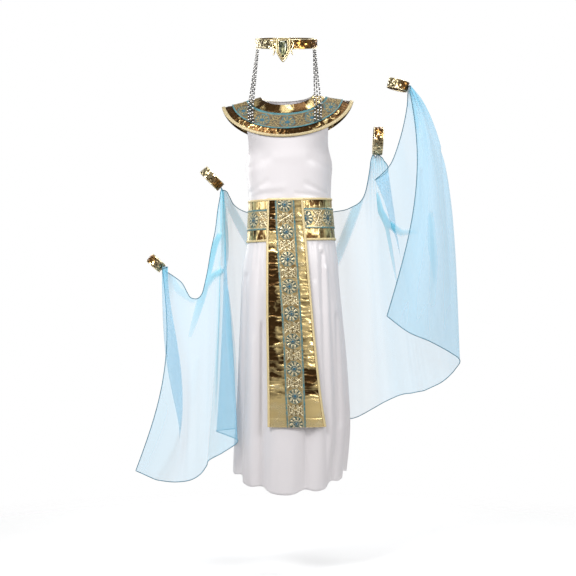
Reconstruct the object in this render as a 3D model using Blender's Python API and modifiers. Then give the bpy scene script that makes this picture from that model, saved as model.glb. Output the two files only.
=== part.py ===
"""Egyptian queen costume, worn form: dress, collar, belt, front panel, drape, bands and headband.

Metres, Z up. The garment faces -Y, and X runs towards its own left side. The origin is where it is held,
midway between the shoulder tops. Each cloth is a grid of points between named sections, given a wall.
"""
import math
from collections import namedtuple

import bmesh
import bpy
import numpy as np

# Walls and gaps
SATIN_WALL = 0.0015
LAME_WALL = 0.0012
TRIM_WALL = 0.0010
CHIFFON_WALL = 0.0010
SEQUIN_WALL = 0.0020
SEAM_HALF = 0.00018
DRAPE_SEAM_HALF = 0.00035

# How far the inner face of each layer lies outside the inner face of the satin
COLLAR_OUT = 0.0021
COLLAR_TRIM_OUT = 0.0038
BELT_OUT = 0.0018
BELT_TRIM_OUT = 0.0034
PANEL_OUT = 0.0050
PANEL_TRIM_OUT = 0.0071

# Rings of the body, from the neck edge down to the hem. Reach is how many degrees each side of the
# front (or of the back) the dress covers there; fold is how high the skirt's folds stand.
Section = namedtuple(
    "Section", "name centre_x half_width half_depth z_side z_front z_back tilt reach fold")
SECTIONS = (
    Section("neck", -0.0025, 0.0640, 0.0560, 0.0060, -0.0205, 0.0020, 0.05, 90, 0),
    Section("shoulder", -0.0020, 0.0940, 0.0670, -0.0010, -0.0420, -0.0270, 0.05, 90, 0),
    Section("shoulder_end", -0.0015, 0.1145, 0.0755, -0.0060, -0.0600, -0.0480, 0.05, 90, 0),
    Section("armhole_top", -0.0012, 0.1260, 0.0800, -0.0082, -0.0705, -0.0595, 0.05, 66, 0),
    Section("ribbon_edge", -0.0010, 0.1380, 0.0840, -0.0104, -0.0810, -0.0710, 0.05, 50, 0),
    Section("collar_rim", -0.0008, 0.1540, 0.0868, -0.0128, -0.0935, -0.0865, 0.05, 41, 0),
    Section("collar_edge", -0.0005, 0.1640, 0.0880, -0.0145, -0.1010, -0.0950, 0.05, 37, 0),
    Section("chest", 0.0010, 0.1085, 0.0868, -0.1180, -0.1320, -0.1280, 0.03, 64, 0),
    Section("underarm", 0.0025, 0.1060, 0.0845, -0.1625, -0.1680, -0.1650, 0.02, 90, 0),
    Section("ribs", 0.0038, 0.1030, 0.0820, -0.2050, -0.2080, -0.2060, 0.02, 90, 0),
    Section("belt_top", 0.0050, 0.1008, 0.0800, -0.2500, -0.2500, -0.2500, 0.03, 90, 0),
    Section("belt_mid", 0.0065, 0.1035, 0.0815, -0.3025, -0.3025, -0.3025, 0.03, 90, 0),
    Section("belt_bottom", 0.0078, 0.1080, 0.0850, -0.3550, -0.3550, -0.3550, 0.03, 90, 0),
    Section("hip", 0.0068, 0.1155, 0.0900, -0.4030, -0.4040, -0.4030, 0.01, 90, 0.0005),
    Section("seat", 0.0062, 0.1190, 0.0930, -0.4600, -0.4620, -0.4600, 0, 90, 0.0020),
    Section("thigh", 0.0085, 0.1230, 0.0955, -0.5400, -0.5430, -0.5400, 0, 90, 0.0040),
    Section("knee", 0.0110, 0.1275, 0.0985, -0.6300, -0.6350, -0.6310, 0, 90, 0.0060),
    Section("calf_high", 0.0125, 0.1310, 0.1020, -0.7200, -0.7280, -0.7210, 0, 90, 0.0078),
    Section("calf_mid", 0.0120, 0.1340, 0.1060, -0.8000, -0.8140, -0.8020, 0, 90, 0.0092),
    Section("calf_low", 0.0080, 0.1330, 0.1110, -0.8680, -0.8900, -0.8720, 0, 90, 0.0104),
    Section("hem", 0.0045, 0.1305, 0.1150, -0.9170, -0.9620, -0.9260, 0, 90, 0.0112),
)
ROW = {section.name: index for index, section in enumerate(SECTIONS)}

# Folds of the skirt, between the valleys at these angles from the front
Fold = namedtuple("Fold", "name start end height")
FOLDS = (
    Fold("back_right", -164, -131, 0.9),
    Fold("side_right_back", -131, -97, 0.8),
    Fold("side_right", -97, -66, 0.9),
    Fold("front_right", -66, -32, 0.9),
    Fold("front_middle", -32, 16, 1.2),
    Fold("front_left", 16, 50, 1.0),
    Fold("side_left_front", 50, 76, 0.8),
    Fold("side_left", 76, 104, 0.9),
    Fold("side_left_back", 104, 133, 0.8),
    Fold("back_left", 133, 163, 0.9),
    Fold("back_middle", 163, 196, 0.8),
)

HALF_COLUMNS = 12
SHOULDER_ROUND = 0.15
FOLD_DROP = 0.75
BELT_RIBBON_TOP = 0.025
BELT_RIBBON_BOTTOM = 0.076
BELT_BINDING = 0.0055

# Front panel: left and right edge at each height, and the ribbon that runs down it
PanelRow = namedtuple("PanelRow", "name z left right ribbon_left ribbon_right")
PANEL_ROWS = (
    PanelRow("top", -0.2500, -0.0515, 0.0370, -0.0325, 0.0150),
    PanelRow("belt_mid", -0.3020, -0.0525, 0.0405, -0.0308, 0.0182),
    PanelRow("belt_bottom", -0.3550, -0.0535, 0.0455, -0.0283, 0.0212),
    PanelRow("hip", -0.4035, -0.0537, 0.0495, -0.0255, 0.0242),
    PanelRow("seat", -0.4610, -0.0538, 0.0545, -0.0215, 0.0280),
    PanelRow("thigh_high", -0.5020, -0.0538, 0.0580, -0.0185, 0.0305),
    PanelRow("thigh", -0.5430, -0.0535, 0.0618, -0.0155, 0.0335),
    PanelRow("knee_high", -0.5890, -0.0528, 0.0660, -0.0130, 0.0360),
    PanelRow("knee", -0.6350, -0.0520, 0.0705, -0.0110, 0.0378),
    PanelRow("knee_low", -0.6810, -0.0512, 0.0755, -0.0092, 0.0395),
    PanelRow("calf_high", -0.7280, -0.0503, 0.0808, -0.0075, 0.0412),
    PanelRow("calf", -0.7680, -0.0500, 0.0865, -0.0055, 0.0425),
    PanelRow("bottom", -0.8080, -0.0500, 0.0935, -0.0030, 0.0440),
)
PANEL_BINDING = 0.0055
PANEL_COLUMNS = 6

# Drape: the lines that the chiffon falls along, from its right wrist end round the back to its left
# wrist end. Bow is how far the line swings towards +X on its way down, most of all at the peak.
DrapeLine = namedtuple(
    "DrapeLine", "name top_x top_y top_z hem_x hem_y hem_z bow bow_y peak")
DRAPE_LINES = (
    DrapeLine("wrist_r_end", -0.3102, -0.0450, -0.4230, -0.367, -0.140, -0.911, 0.037, -0.004, 0.50),
    DrapeLine("wrist_r_pleat_out", -0.2961, -0.0520, -0.4182, -0.314, -0.168, -0.929, 0.045, -0.014, 0.50),
    DrapeLine("wrist_r_pleat_in", -0.3120, -0.0370, -0.4222, -0.309, -0.135, -0.935, 0.010, 0.008, 0.50),
    DrapeLine("swag_r_1", -0.2654, -0.0320, -0.4551, -0.270, -0.136, -0.939, 0.000, 0.000, 0.50),
    DrapeLine("swag_r_low", -0.2404, -0.0340, -0.4948, -0.236, -0.140, -0.933, 0.000, 0.000, 0.50),
    DrapeLine("swag_r_2", -0.2097, -0.0300, -0.4799, -0.211, -0.126, -0.920, 0.000, 0.000, 0.50),
    DrapeLine("swag_r_3", -0.1878, -0.0200, -0.3680, -0.198, -0.113, -0.902, 0.005, 0.000, 0.50),
    DrapeLine("arm_r_1", -0.1682, -0.0120, -0.2332, -0.191, -0.100, -0.889, 0.007, 0.000, 0.50),
    DrapeLine("arm_r_2", -0.1636, -0.0040, -0.2277, -0.159, -0.080, -0.873, 0.000, 0.000, 0.50),
    DrapeLine("arm_r_3", -0.1677, 0.0038, -0.2194, -0.123, -0.060, -0.847, 0.000, 0.000, 0.50),
    DrapeLine("arm_r_4", -0.1642, 0.0120, -0.2243, -0.151, -0.038, -0.835, 0.000, 0.000, 0.50),
    DrapeLine("arm_r_5", -0.1595, 0.0200, -0.2250, -0.178, -0.012, -0.826, 0.007, 0.000, 0.50),
    DrapeLine("arm_r_6", -0.1524, 0.0300, -0.2307, -0.147, 0.050, -0.827, 0.000, 0.000, 0.50),
    DrapeLine("back_1", -0.1365, 0.0440, -0.2602, -0.115, 0.100, -0.829, 0.000, 0.005, 0.50),
    DrapeLine("back_2", -0.1039, 0.0560, -0.2781, -0.083, 0.138, -0.829, 0.000, 0.010, 0.50),
    DrapeLine("back_3", -0.0510, 0.0770, -0.2813, -0.036, 0.160, -0.831, 0.000, 0.010, 0.50),
    DrapeLine("back_centre", 0.0051, 0.0865, -0.2835, 0.018, 0.168, -0.827, 0.000, 0.010, 0.50),
    DrapeLine("back_4", 0.0612, 0.0770, -0.2826, 0.078, 0.160, -0.821, 0.000, 0.010, 0.50),
    DrapeLine("back_5", 0.1191, 0.0560, -0.2766, 0.137, 0.138, -0.811, 0.000, 0.010, 0.50),
    DrapeLine("back_6", 0.1567, 0.0440, -0.2678, 0.175, 0.112, -0.802, 0.000, 0.005, 0.50),
    DrapeLine("back_7", 0.1915, 0.0320, -0.2382, 0.215, 0.094, -0.780, 0.000, 0.000, 0.50),
    DrapeLine("arm_l_1", 0.2100, 0.0240, -0.1431, 0.245, 0.084, -0.761, -0.007, 0.000, 0.50),
    DrapeLine("arm_l_2", 0.2196, 0.0150, -0.1413, 0.273, 0.079, -0.748, -0.007, 0.000, 0.50),
    DrapeLine("arm_l_3", 0.2250, 0.0045, -0.1370, 0.295, 0.074, -0.740, -0.005, 0.000, 0.50),
    DrapeLine("arm_l_4", 0.2361, -0.0030, -0.1465, 0.315, 0.069, -0.737, 0.000, 0.000, 0.50),
    DrapeLine("fold_out", 0.2492, -0.0120, -0.1759, 0.333, 0.063, -0.733, 0.000, 0.000, 0.50),
    DrapeLine("fold_in", 0.2162, -0.0230, -0.2016, 0.347, 0.057, -0.729, -0.015, 0.000, 0.50),
    DrapeLine("fold_back", 0.2453, -0.0350, -0.1751, 0.364, 0.050, -0.721, -0.005, 0.000, 0.50),
    DrapeLine("swag_l_1", 0.2622, -0.0430, -0.1460, 0.384, 0.042, -0.710, 0.000, 0.000, 0.50),
    DrapeLine("swag_l_2", 0.2814, -0.0500, -0.0849, 0.406, 0.032, -0.692, 0.010, 0.000, 0.45),
    DrapeLine("swag_l_3", 0.2933, -0.0560, -0.0238, 0.422, 0.018, -0.672, 0.030, 0.000, 0.38),
    DrapeLine("wrist_l_1", 0.2957, -0.0630, 0.0218, 0.429, -0.004, -0.650, 0.054, 0.000, 0.30),
    DrapeLine("wrist_l_2", 0.3010, -0.0690, 0.0263, 0.403, -0.024, -0.630, 0.043, -0.010, 0.40),
    DrapeLine("wrist_l_3", 0.3017, -0.0750, 0.0231, 0.351, -0.046, -0.602, 0.040, -0.016, 0.40),
    DrapeLine("wrist_l_4", 0.3000, -0.0810, 0.0174, 0.296, -0.056, -0.578, 0.040, -0.010, 0.43),
    DrapeLine("wrist_l_end", 0.2971, -0.0870, 0.0118, 0.243, -0.066, -0.539, 0.040, 0.000, 0.45),
)
# The one cloth is three solids, which meet at two of its lines
Stretch = namedtuple("Stretch", "name first last")
STRETCHES = (
    Stretch("drape_right", "wrist_r_end", "arm_r_6"),
    Stretch("drape_back", "arm_r_6", "arm_l_1"),
    Stretch("drape_left", "arm_l_1", "wrist_l_end"),
)
DRAPE_STEPS = 3
RIPPLE_HEIGHT = 0.004
RIPPLE_TURN = 2.6
DRAPE_LEVELS = (0.0, 0.06, 0.14, 0.24, 0.35, 0.46, 0.57, 0.68, 0.79, 0.90, 1.0)

# Bands of sequin cloth: centre, direction of the limb, outer radius and width
Band = namedtuple("Band", "name centre axis radius width")
BANDS = (
    Band("armband_right", (-0.1900, 0.0, -0.1963), (-0.715, 0.0, -0.699), 0.0315, 0.024),
    Band("cuff_right", (-0.3275, -0.030, -0.4080), (-0.670, 0.0, -0.742), 0.0213, 0.024),
    Band("armband_left", (0.2250, 0.0, -0.1025), (0.9987, 0.0, -0.050), 0.0345, 0.024),
    Band("cuff_left", (0.2709, -0.060, 0.0299), (-0.240, 0.0, -0.971), 0.0254, 0.024),
)
BAND_SIDES = 26

# Headband: centre, half sizes, width, and how much its front hangs lower than its back
HEAD_CENTRE = (-0.0040, -0.0050, 0.1410)
HEAD_HALF = (0.0745, 0.0915)
HEAD_SLOPE = 0.18
HEAD_WIDTH = 0.024
HEAD_SIDES = 36

# Medallion: half widths of the shield down its height
ShieldRow = namedtuple("ShieldRow", "name z half_width")
SHIELD = (
    ShieldRow("top", 0.1405, 0.0150),
    ShieldRow("shoulder", 0.1365, 0.0167),
    ShieldRow("wide", 0.1180, 0.0180),
    ShieldRow("waist", 0.1040, 0.0165),
    ShieldRow("taper", 0.0965, 0.0127),
    ShieldRow("low", 0.0870, 0.0069),
    ShieldRow("point", 0.0805, 0.0015),
)
SHIELD_X = -0.0122
SHIELD_MIDDLE_Z = 0.1150
SHIELD_BACK_Y = -0.0990
SHIELD_THICK = 0.0035
STONE_SCALE = 0.60
STONE_TABLE_SCALE = 0.34
STONE_THICK = 0.0036

# Scroll wings beside the medallion, as points of a wire along the band: x, z
Scroll = namedtuple("Scroll", "name points")
SCROLLS = (
    Scroll("scroll_right", ((-0.0335, 0.1340), (-0.0372, 0.1265), (-0.0360, 0.1180), (-0.0332, 0.1110),
                            (-0.0335, 0.1040), (-0.0365, 0.0985))),
    Scroll("scroll_left", ((0.0091, 0.1340), (0.0128, 0.1265), (0.0116, 0.1180), (0.0088, 0.1110),
                           (0.0091, 0.1040), (0.0121, 0.0985))),
)
SCROLL_RADIUS = 0.0018

# Bead strands: three on each side, from the lower edge of the headband down over the collar
Strand = namedtuple("Strand", "side root_angle first_level last_level collar_x")
STRANDS = (
    Strand("right", -74.0, 1.8, 3.9, (-0.0945, -0.0890, -0.0835)),
    Strand("left", 69.0, 1.4, 3.8, (0.0660, 0.0735, 0.0810)),
)
STRAND_RADIUS = 0.0015
STRAND_OUT = 0.0077

COLOURS = {
    "satin": (0.86, 0.84, 0.86),
    "lame": (0.72, 0.52, 0.20),
    "ribbon": (0.62, 0.48, 0.24),
    "binding": (0.80, 0.66, 0.34),
    "chiffon": (0.42, 0.72, 0.86),
    "sequin": (0.78, 0.58, 0.18),
    "setting": (0.75, 0.55, 0.22),
    "stone": (0.03, 0.16, 0.10),
    "beads": (0.55, 0.55, 0.56),
}


def fold_height(angle):
    """Height of the skirt's folds, 0 in a valley and about 1 on a ridge, at angles in degrees."""
    height = np.zeros_like(angle)
    for fold in FOLDS:
        share = np.mod(angle - fold.start, 360) / (fold.end - fold.start)
        inside = share < 1
        height += np.where(inside, fold.height * (1 - np.cos(np.pi * share) ** 4), 0)
    return height


def ring_points(section, angle, folded=True):
    """Points of one section at angles in degrees from the front, towards +X."""
    turn = np.radians(angle)
    across = section.centre_x + section.half_width * np.sin(turn)
    depth = -section.half_depth * np.cos(turn)
    ahead = (np.hypot(np.cos(turn), SHOULDER_ROUND) - SHOULDER_ROUND) / (math.hypot(1, SHOULDER_ROUND) - SHOULDER_ROUND)
    ends = np.where(np.cos(turn) > 0, section.z_front, section.z_back)
    height = section.z_side + (ends - section.z_side) * ahead + section.tilt * across
    if folded:
        swell = section.fold * fold_height(angle)
        across = across + swell * np.sin(turn)
        depth = depth - swell * np.cos(turn)
        height = height - FOLD_DROP * swell
    return np.stack([across, depth, height], axis=-1)


def body_points(angle, level, folded=True):
    """Points of the body at arrays of angle and level; level is a row of SECTIONS, or between two."""
    low = np.clip(np.floor(level).astype(int), 0, len(SECTIONS) - 2)
    share = (level - low)[..., None]
    rings = np.stack([ring_points(section, angle, folded) for section in SECTIONS])
    first = np.take_along_axis(rings, low[None, ..., None], axis=0)[0]
    second = np.take_along_axis(rings, low[None, ..., None] + 1, axis=0)[0]
    return first + (second - first) * share


def moved_out(angle, level, distance, folded=True):
    """Body points moved straight out of the surface."""
    last = np.where(level <= ROW["collar_edge"], ROW["collar_edge"], len(SECTIONS) - 1)
    across = body_points(angle + 1.5, level, folded) - body_points(angle - 1.5, level, folded)
    up = np.maximum(level - 0.3, 0)
    down = np.minimum(level + 0.3, last)
    along = body_points(angle, down, folded) - body_points(angle, up, folded)
    normal = np.cross(along, across)
    normal /= np.linalg.norm(normal, axis=-1, keepdims=True)
    return body_points(angle, level, folded) + normal * distance


def level_at(z):
    """Level of the front of the body at a height below the belt's top."""
    heights = [section.z_front for section in SECTIONS]
    first = ROW["belt_top"]
    for index in range(first, len(SECTIONS) - 1):
        if heights[index + 1] <= z:
            return index + (heights[index] - z) / (heights[index] - heights[index + 1])
    return len(SECTIONS) - 1.0


def edge_inset(section):
    """Angle by which a panel stops short of its seam."""
    return math.degrees(SEAM_HALF / section.half_width)


def material(kind):
    """The plain material of a piece."""
    made = bpy.data.materials.get(kind) or bpy.data.materials.new(kind)
    made.use_nodes = True
    shader = made.node_tree.nodes["Principled BSDF"]
    shader.inputs["Base Color"].default_value = (*COLOURS[kind], 1.0)
    shader.inputs["Roughness"].default_value = 0.4
    return made


def finish_piece(name, work, kind, wall=0.0, side=1.0):
    """Turn a bmesh into a named object; a wall thickens an open surface, outwards or half each side."""
    mesh = bpy.data.meshes.new(name)
    if not wall:
        bmesh.ops.recalc_face_normals(work, faces=work.faces)
    work.to_mesh(mesh)
    work.free()
    piece = bpy.data.objects.new(name, mesh)
    COSTUME.objects.link(piece)
    if wall:
        thicken = piece.modifiers.new("wall", "SOLIDIFY")
        thicken.thickness = wall
        thicken.offset = side
        thicken.use_even_offset = True
        thicken.use_rim = True
        bpy.context.view_layer.objects.active = piece
        bpy.ops.object.modifier_apply(modifier=thicken.name)
    mesh.materials.append(material(kind))
    return piece


def cloth(name, points, kind, wall, closed=False, side=1.0):
    """A cloth piece from a grid of points, rows by columns, with its wall."""
    rows, columns = points.shape[:2]
    work = bmesh.new()
    made = [[work.verts.new(tuple(points[row, column])) for column in range(columns)] for row in range(rows)]
    last = columns if closed else columns - 1
    for row in range(rows - 1):
        for column in range(last):
            after = (column + 1) % columns
            work.faces.new((made[row][column], made[row + 1][column],
                            made[row + 1][after], made[row][after]))
    return finish_piece(name, work, kind, wall, side)


def wrap(name, levels, distance, kind, wall, start=-180.0, end=180.0, columns=None):
    """A strip laid round the body between two angles, at the given levels, moved out."""
    columns = columns or round((end - start) / 90.0 * HALF_COLUMNS)
    angle, level = [], []
    for row in levels:
        inset = edge_inset(SECTIONS[min(int(row), len(SECTIONS) - 1)])
        angle.append(np.linspace(start + inset, end - inset, columns + 1))
        level.append(np.full(columns + 1, float(row)))
    points = moved_out(np.array(angle), np.array(level), distance)
    return cloth(name, points, kind, wall)


def dress_piece(name, start_sign, end_sign, behind):
    """One dress panel: signs -1, 0, 1 say whether it ends at the seam on that side or in the middle."""
    rows = []
    span = abs(end_sign - start_sign) * HALF_COLUMNS
    for section in SECTIONS:
        inset = edge_inset(section)
        start = start_sign * section.reach
        end = end_sign * section.reach
        rows.append(np.linspace(start + inset, end - inset, span + 1))
    angle = np.array(rows)
    if behind:
        angle = np.where(angle + 180 > 180, angle - 180, angle + 180)
    level = np.repeat(np.arange(len(SECTIONS), dtype=float)[:, None], span + 1, axis=1)
    return cloth(name, body_points(angle, level), "satin", SATIN_WALL)


def make_dress():
    """Front of the dress and its two back halves."""
    dress_piece("dress_front", -1, 1, behind=False)
    dress_piece("dress_back_left", -1, 0, behind=True)
    dress_piece("dress_back_right", 0, 1, behind=True)


def make_collar():
    """Collar of three lame pieces, with its neck band, ribbon and edge binding."""
    rows = [ROW[name] for name in ("neck", "shoulder", "shoulder_end", "ribbon_edge", "collar_rim",
                                   "collar_edge")]
    wrap("collar_front", rows, COLLAR_OUT, "lame", LAME_WALL, -90, 90)
    wrap("collar_back_left", rows, COLLAR_OUT, "lame", LAME_WALL, 90, 180)
    wrap("collar_back_right", rows, COLLAR_OUT, "lame", LAME_WALL, -180, -90)
    wrap("collar_neck_band", (0.0, 0.97), COLLAR_TRIM_OUT, "binding", TRIM_WALL)
    wrap("collar_ribbon", (1.0, 2.0, 4.0), COLLAR_TRIM_OUT, "ribbon", TRIM_WALL)
    wrap("collar_binding", (5.1, 6.0), COLLAR_TRIM_OUT, "binding", TRIM_WALL)


def make_belt():
    """Belt with its ribbon and its two edge bindings, open at the centre back."""
    top, middle, bottom = ROW["belt_top"], ROW["belt_mid"], ROW["belt_bottom"]
    height = SECTIONS[top].z_front - SECTIONS[middle].z_front
    binding = BELT_BINDING / height
    wrap("belt", (top, middle, bottom), BELT_OUT, "lame", LAME_WALL)
    wrap("belt_ribbon", (top + BELT_RIBBON_TOP / height, middle, top + BELT_RIBBON_BOTTOM / height),
         BELT_TRIM_OUT, "ribbon", TRIM_WALL)
    wrap("belt_binding_top", (top, top + binding), BELT_TRIM_OUT, "binding", TRIM_WALL)
    wrap("belt_binding_bottom", (bottom - binding, bottom), BELT_TRIM_OUT, "binding", TRIM_WALL)


def panel_points(rows, left, right, columns, distance):
    """Points of the panel between two x values in each row, on the body without folds, moved out."""
    grid = []
    for row, first, last in zip(rows, left, right):
        level = level_at(row.z)
        low = min(int(level), len(SECTIONS) - 2)
        share = level - low
        above, below = SECTIONS[low], SECTIONS[low + 1]
        fold = above.fold + (below.fold - above.fold) * share
        half_width = above.half_width + (below.half_width - above.half_width) * share
        half_depth = above.half_depth + (below.half_depth - above.half_depth) * share
        centre_x = above.centre_x + (below.centre_x - above.centre_x) * share
        lift = distance + 1.2 * fold
        across = np.linspace(first, last, columns + 1)
        sine = (across - centre_x) / (half_width + lift)
        depth = -(half_depth + lift) * np.sqrt(1 - sine ** 2)
        grid.append(np.stack([across, depth, np.full_like(across, row.z)], axis=-1))
    return np.array(grid)


def make_panel():
    """Front panel with its ribbon and bindings."""
    rows = PANEL_ROWS
    left = [row.left for row in rows]
    right = [row.right for row in rows]
    cloth("panel", panel_points(rows, left, right, PANEL_COLUMNS, PANEL_OUT), "lame", LAME_WALL)
    below = [rows[0]._replace(z=rows[0].z - PANEL_BINDING - 0.0003), *rows[1:]]
    ribbon_left = [row.ribbon_left for row in rows]
    ribbon_right = [row.ribbon_right for row in rows]
    cloth("panel_ribbon", panel_points(below, ribbon_left, ribbon_right, 3, PANEL_TRIM_OUT), "ribbon", TRIM_WALL)
    for name, inner, outer in (("panel_binding_right", [x + PANEL_BINDING for x in left], left),
                               ("panel_binding_left", right, [x - PANEL_BINDING for x in right])):
        cloth(name, panel_points(below, outer, inner, 1, PANEL_TRIM_OUT), "binding", TRIM_WALL)
    strip = [rows[0], rows[0]._replace(z=rows[0].z - PANEL_BINDING)]
    cloth("panel_binding_top", panel_points(strip, left[:2], right[:2], PANEL_COLUMNS, PANEL_TRIM_OUT),
          "binding", TRIM_WALL)


def smooth_between(values, steps):
    """Rows of numbers joined by a smooth curve through each of them, steps pieces a gap."""
    padded = np.vstack([2 * values[0] - values[1], values, 2 * values[-1] - values[-2]])
    share = (np.arange(steps) / steps)[None, :, None]
    p0, p1, p2, p3 = (padded[k:len(values) - 1 + k, None, :] for k in range(4))
    curve = 0.5 * (2 * p1 + (p2 - p0) * share + (2 * p0 - 5 * p1 + 4 * p2 - p3) * share ** 2
                   + (3 * p1 - p0 - 3 * p2 + p3) * share ** 3)
    return np.vstack([curve.reshape(-1, values.shape[1]), values[-1:]])


def parted(edge, inner):
    """An edge moved a little towards the column inside it, which leaves the gap of a seam."""
    step = inner - edge
    return edge + step * DRAPE_SEAM_HALF / np.linalg.norm(step, axis=-1, keepdims=True)


def make_drape():
    """Chiffon that falls from both wrists and both armbands and swings behind the waist."""
    lines = np.array([line[1:] for line in DRAPE_LINES])
    lines = smooth_between(lines, DRAPE_STEPS)
    top, hem = lines[:, 0:3], lines[:, 3:6]
    level = np.array(DRAPE_LEVELS)[:, None]
    power = np.log(0.5) / np.log(lines[:, 8])
    swing = np.sin(np.pi * level ** power)
    points = top + (hem - top) * level[..., None]
    points[..., 0] += lines[:, 6] * swing
    ripple = np.sin(RIPPLE_TURN * np.arange(len(lines)) / DRAPE_STEPS) * RIPPLE_HEIGHT
    points[..., 1] += lines[:, 7] * swing + ripple * np.minimum(level * 2, 1)
    names = [line.name for line in DRAPE_LINES]
    for stretch in STRETCHES:
        first = names.index(stretch.first) * DRAPE_STEPS
        last = names.index(stretch.last) * DRAPE_STEPS
        part = points[:, first:last + 1].copy()
        if first:
            part[:, 0] = parted(part[:, 0], part[:, 1])
        if last < len(lines) - 1:
            part[:, -1] = parted(part[:, -1], part[:, -2])
        cloth(stretch.name, part, "chiffon", CHIFFON_WALL, side=0.0)


def limb_ring(centre, axis, radius, sides):
    """Ring of points round an axis, and the unit axis."""
    axis = np.array(axis) / np.linalg.norm(axis)
    side = np.cross(axis, (0.0, 1.0, 0.0))
    side /= np.linalg.norm(side)
    ahead = np.cross(side, axis)
    turn = np.linspace(0, 2 * np.pi, sides, endpoint=False)[:, None]
    return np.array(centre) + radius * (np.cos(turn) * side + np.sin(turn) * ahead), axis


def make_bands():
    """Armbands and wrist cuffs."""
    for band in BANDS:
        ring, axis = limb_ring(band.centre, band.axis, band.radius - SEQUIN_WALL, BAND_SIDES)
        points = np.stack([ring - axis * band.width / 2, ring + axis * band.width / 2])
        cloth(band.name, points, "sequin", SEQUIN_WALL, closed=True)


def head_point(angle, up, distance):
    """Point on the headband at an angle in degrees from the front, up from its middle, moved out."""
    turn = np.radians(angle)
    normal = np.stack([np.sin(turn) * HEAD_HALF[1], -np.cos(turn) * HEAD_HALF[0]], axis=-1)
    normal /= np.linalg.norm(normal, axis=-1, keepdims=True)
    across = HEAD_CENTRE[0] + HEAD_HALF[0] * np.sin(turn) + normal[..., 0] * distance
    depth = HEAD_CENTRE[1] - HEAD_HALF[1] * np.cos(turn) + normal[..., 1] * distance
    height = HEAD_CENTRE[2] + up + HEAD_SLOPE * (depth - HEAD_CENTRE[1])
    return np.stack([across, depth, height], axis=-1)


def make_headband():
    """Headband, its medallion with the stone, and the two scroll wings."""
    angle = np.linspace(-180, 180, HEAD_SIDES, endpoint=False)
    points = np.stack([head_point(angle, HEAD_WIDTH / 2, 0.0), head_point(angle, -HEAD_WIDTH / 2, 0.0)])
    cloth("headband", points, "sequin", SEQUIN_WALL, closed=True)
    front = SHIELD_BACK_Y - SHIELD_THICK
    shield_solid("medallion", "setting", ((SHIELD_BACK_Y, 1.0), (front, 0.96)))
    shield_solid("stone", "stone", ((front - 0.0003, STONE_SCALE), (front - 0.0018, STONE_SCALE),
                                    (front - 0.0003 - STONE_THICK, STONE_TABLE_SCALE)))
    for scroll in SCROLLS:
        make_scroll(scroll)


def shield_solid(name, kind, steps):
    """Solid with the shield's outline at each step, given as its y and its share of the full outline."""
    outline = [(-row.half_width, row.z) for row in SHIELD] + [(row.half_width, row.z) for row in reversed(SHIELD)]
    work = bmesh.new()
    rings = []
    for y, share in steps:
        rings.append([work.verts.new((SHIELD_X + x * share, y, SHIELD_MIDDLE_Z + (z - SHIELD_MIDDLE_Z) * share))
                      for x, z in outline])
    work.faces.new(rings[0])
    work.faces.new(list(reversed(rings[-1])))
    for first, second in zip(rings, rings[1:]):
        for k in range(len(outline)):
            after = (k + 1) % len(outline)
            work.faces.new((first[k], first[after], second[after], second[k]))
    finish_piece(name, work, kind)


def make_scroll(scroll):
    """One scroll wing: a round wire bent along the face of the headband."""
    curve = bpy.data.curves.new(scroll.name, "CURVE")
    curve.dimensions = "3D"
    curve.bevel_depth = SCROLL_RADIUS
    curve.bevel_resolution = 1
    curve.use_fill_caps = True
    wire = curve.splines.new("POLY")
    wire.points.add(len(scroll.points) - 1)
    for point, (x, z) in zip(wire.points, scroll.points):
        sine = (x - HEAD_CENTRE[0]) / HEAD_HALF[0]
        y = HEAD_CENTRE[1] - HEAD_HALF[1] * math.sqrt(1 - sine ** 2) - SEQUIN_WALL - SCROLL_RADIUS - 0.0008
        point.co = (x, y, z, 1.0)
    made = bpy.data.objects.new(scroll.name, curve)
    COSTUME.objects.link(made)
    mesh = bpy.data.meshes.new_from_object(made)
    bpy.data.objects.remove(made)
    work = bmesh.new()
    work.from_mesh(mesh)
    bmesh.ops.remove_doubles(work, verts=work.verts, dist=0.00001)
    bpy.data.meshes.remove(mesh)
    finish_piece(scroll.name, work, "setting")


def strand_path(strand, across, root):
    """Points of one strand: from its root, straight down and then over the collar's layers."""
    levels = np.linspace(strand.first_level, strand.last_level, 4)
    rows = range(ROW["collar_edge"] + 1)
    half_width = np.interp(levels, rows, [SECTIONS[row].half_width for row in rows])
    turn = np.degrees(np.arcsin(across / half_width))
    lower = moved_out(turn, levels, STRAND_OUT)
    hang = [root + (lower[0] - root) * share for share in (0.35, 0.7)]
    return np.array([*hang, *lower])


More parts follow.
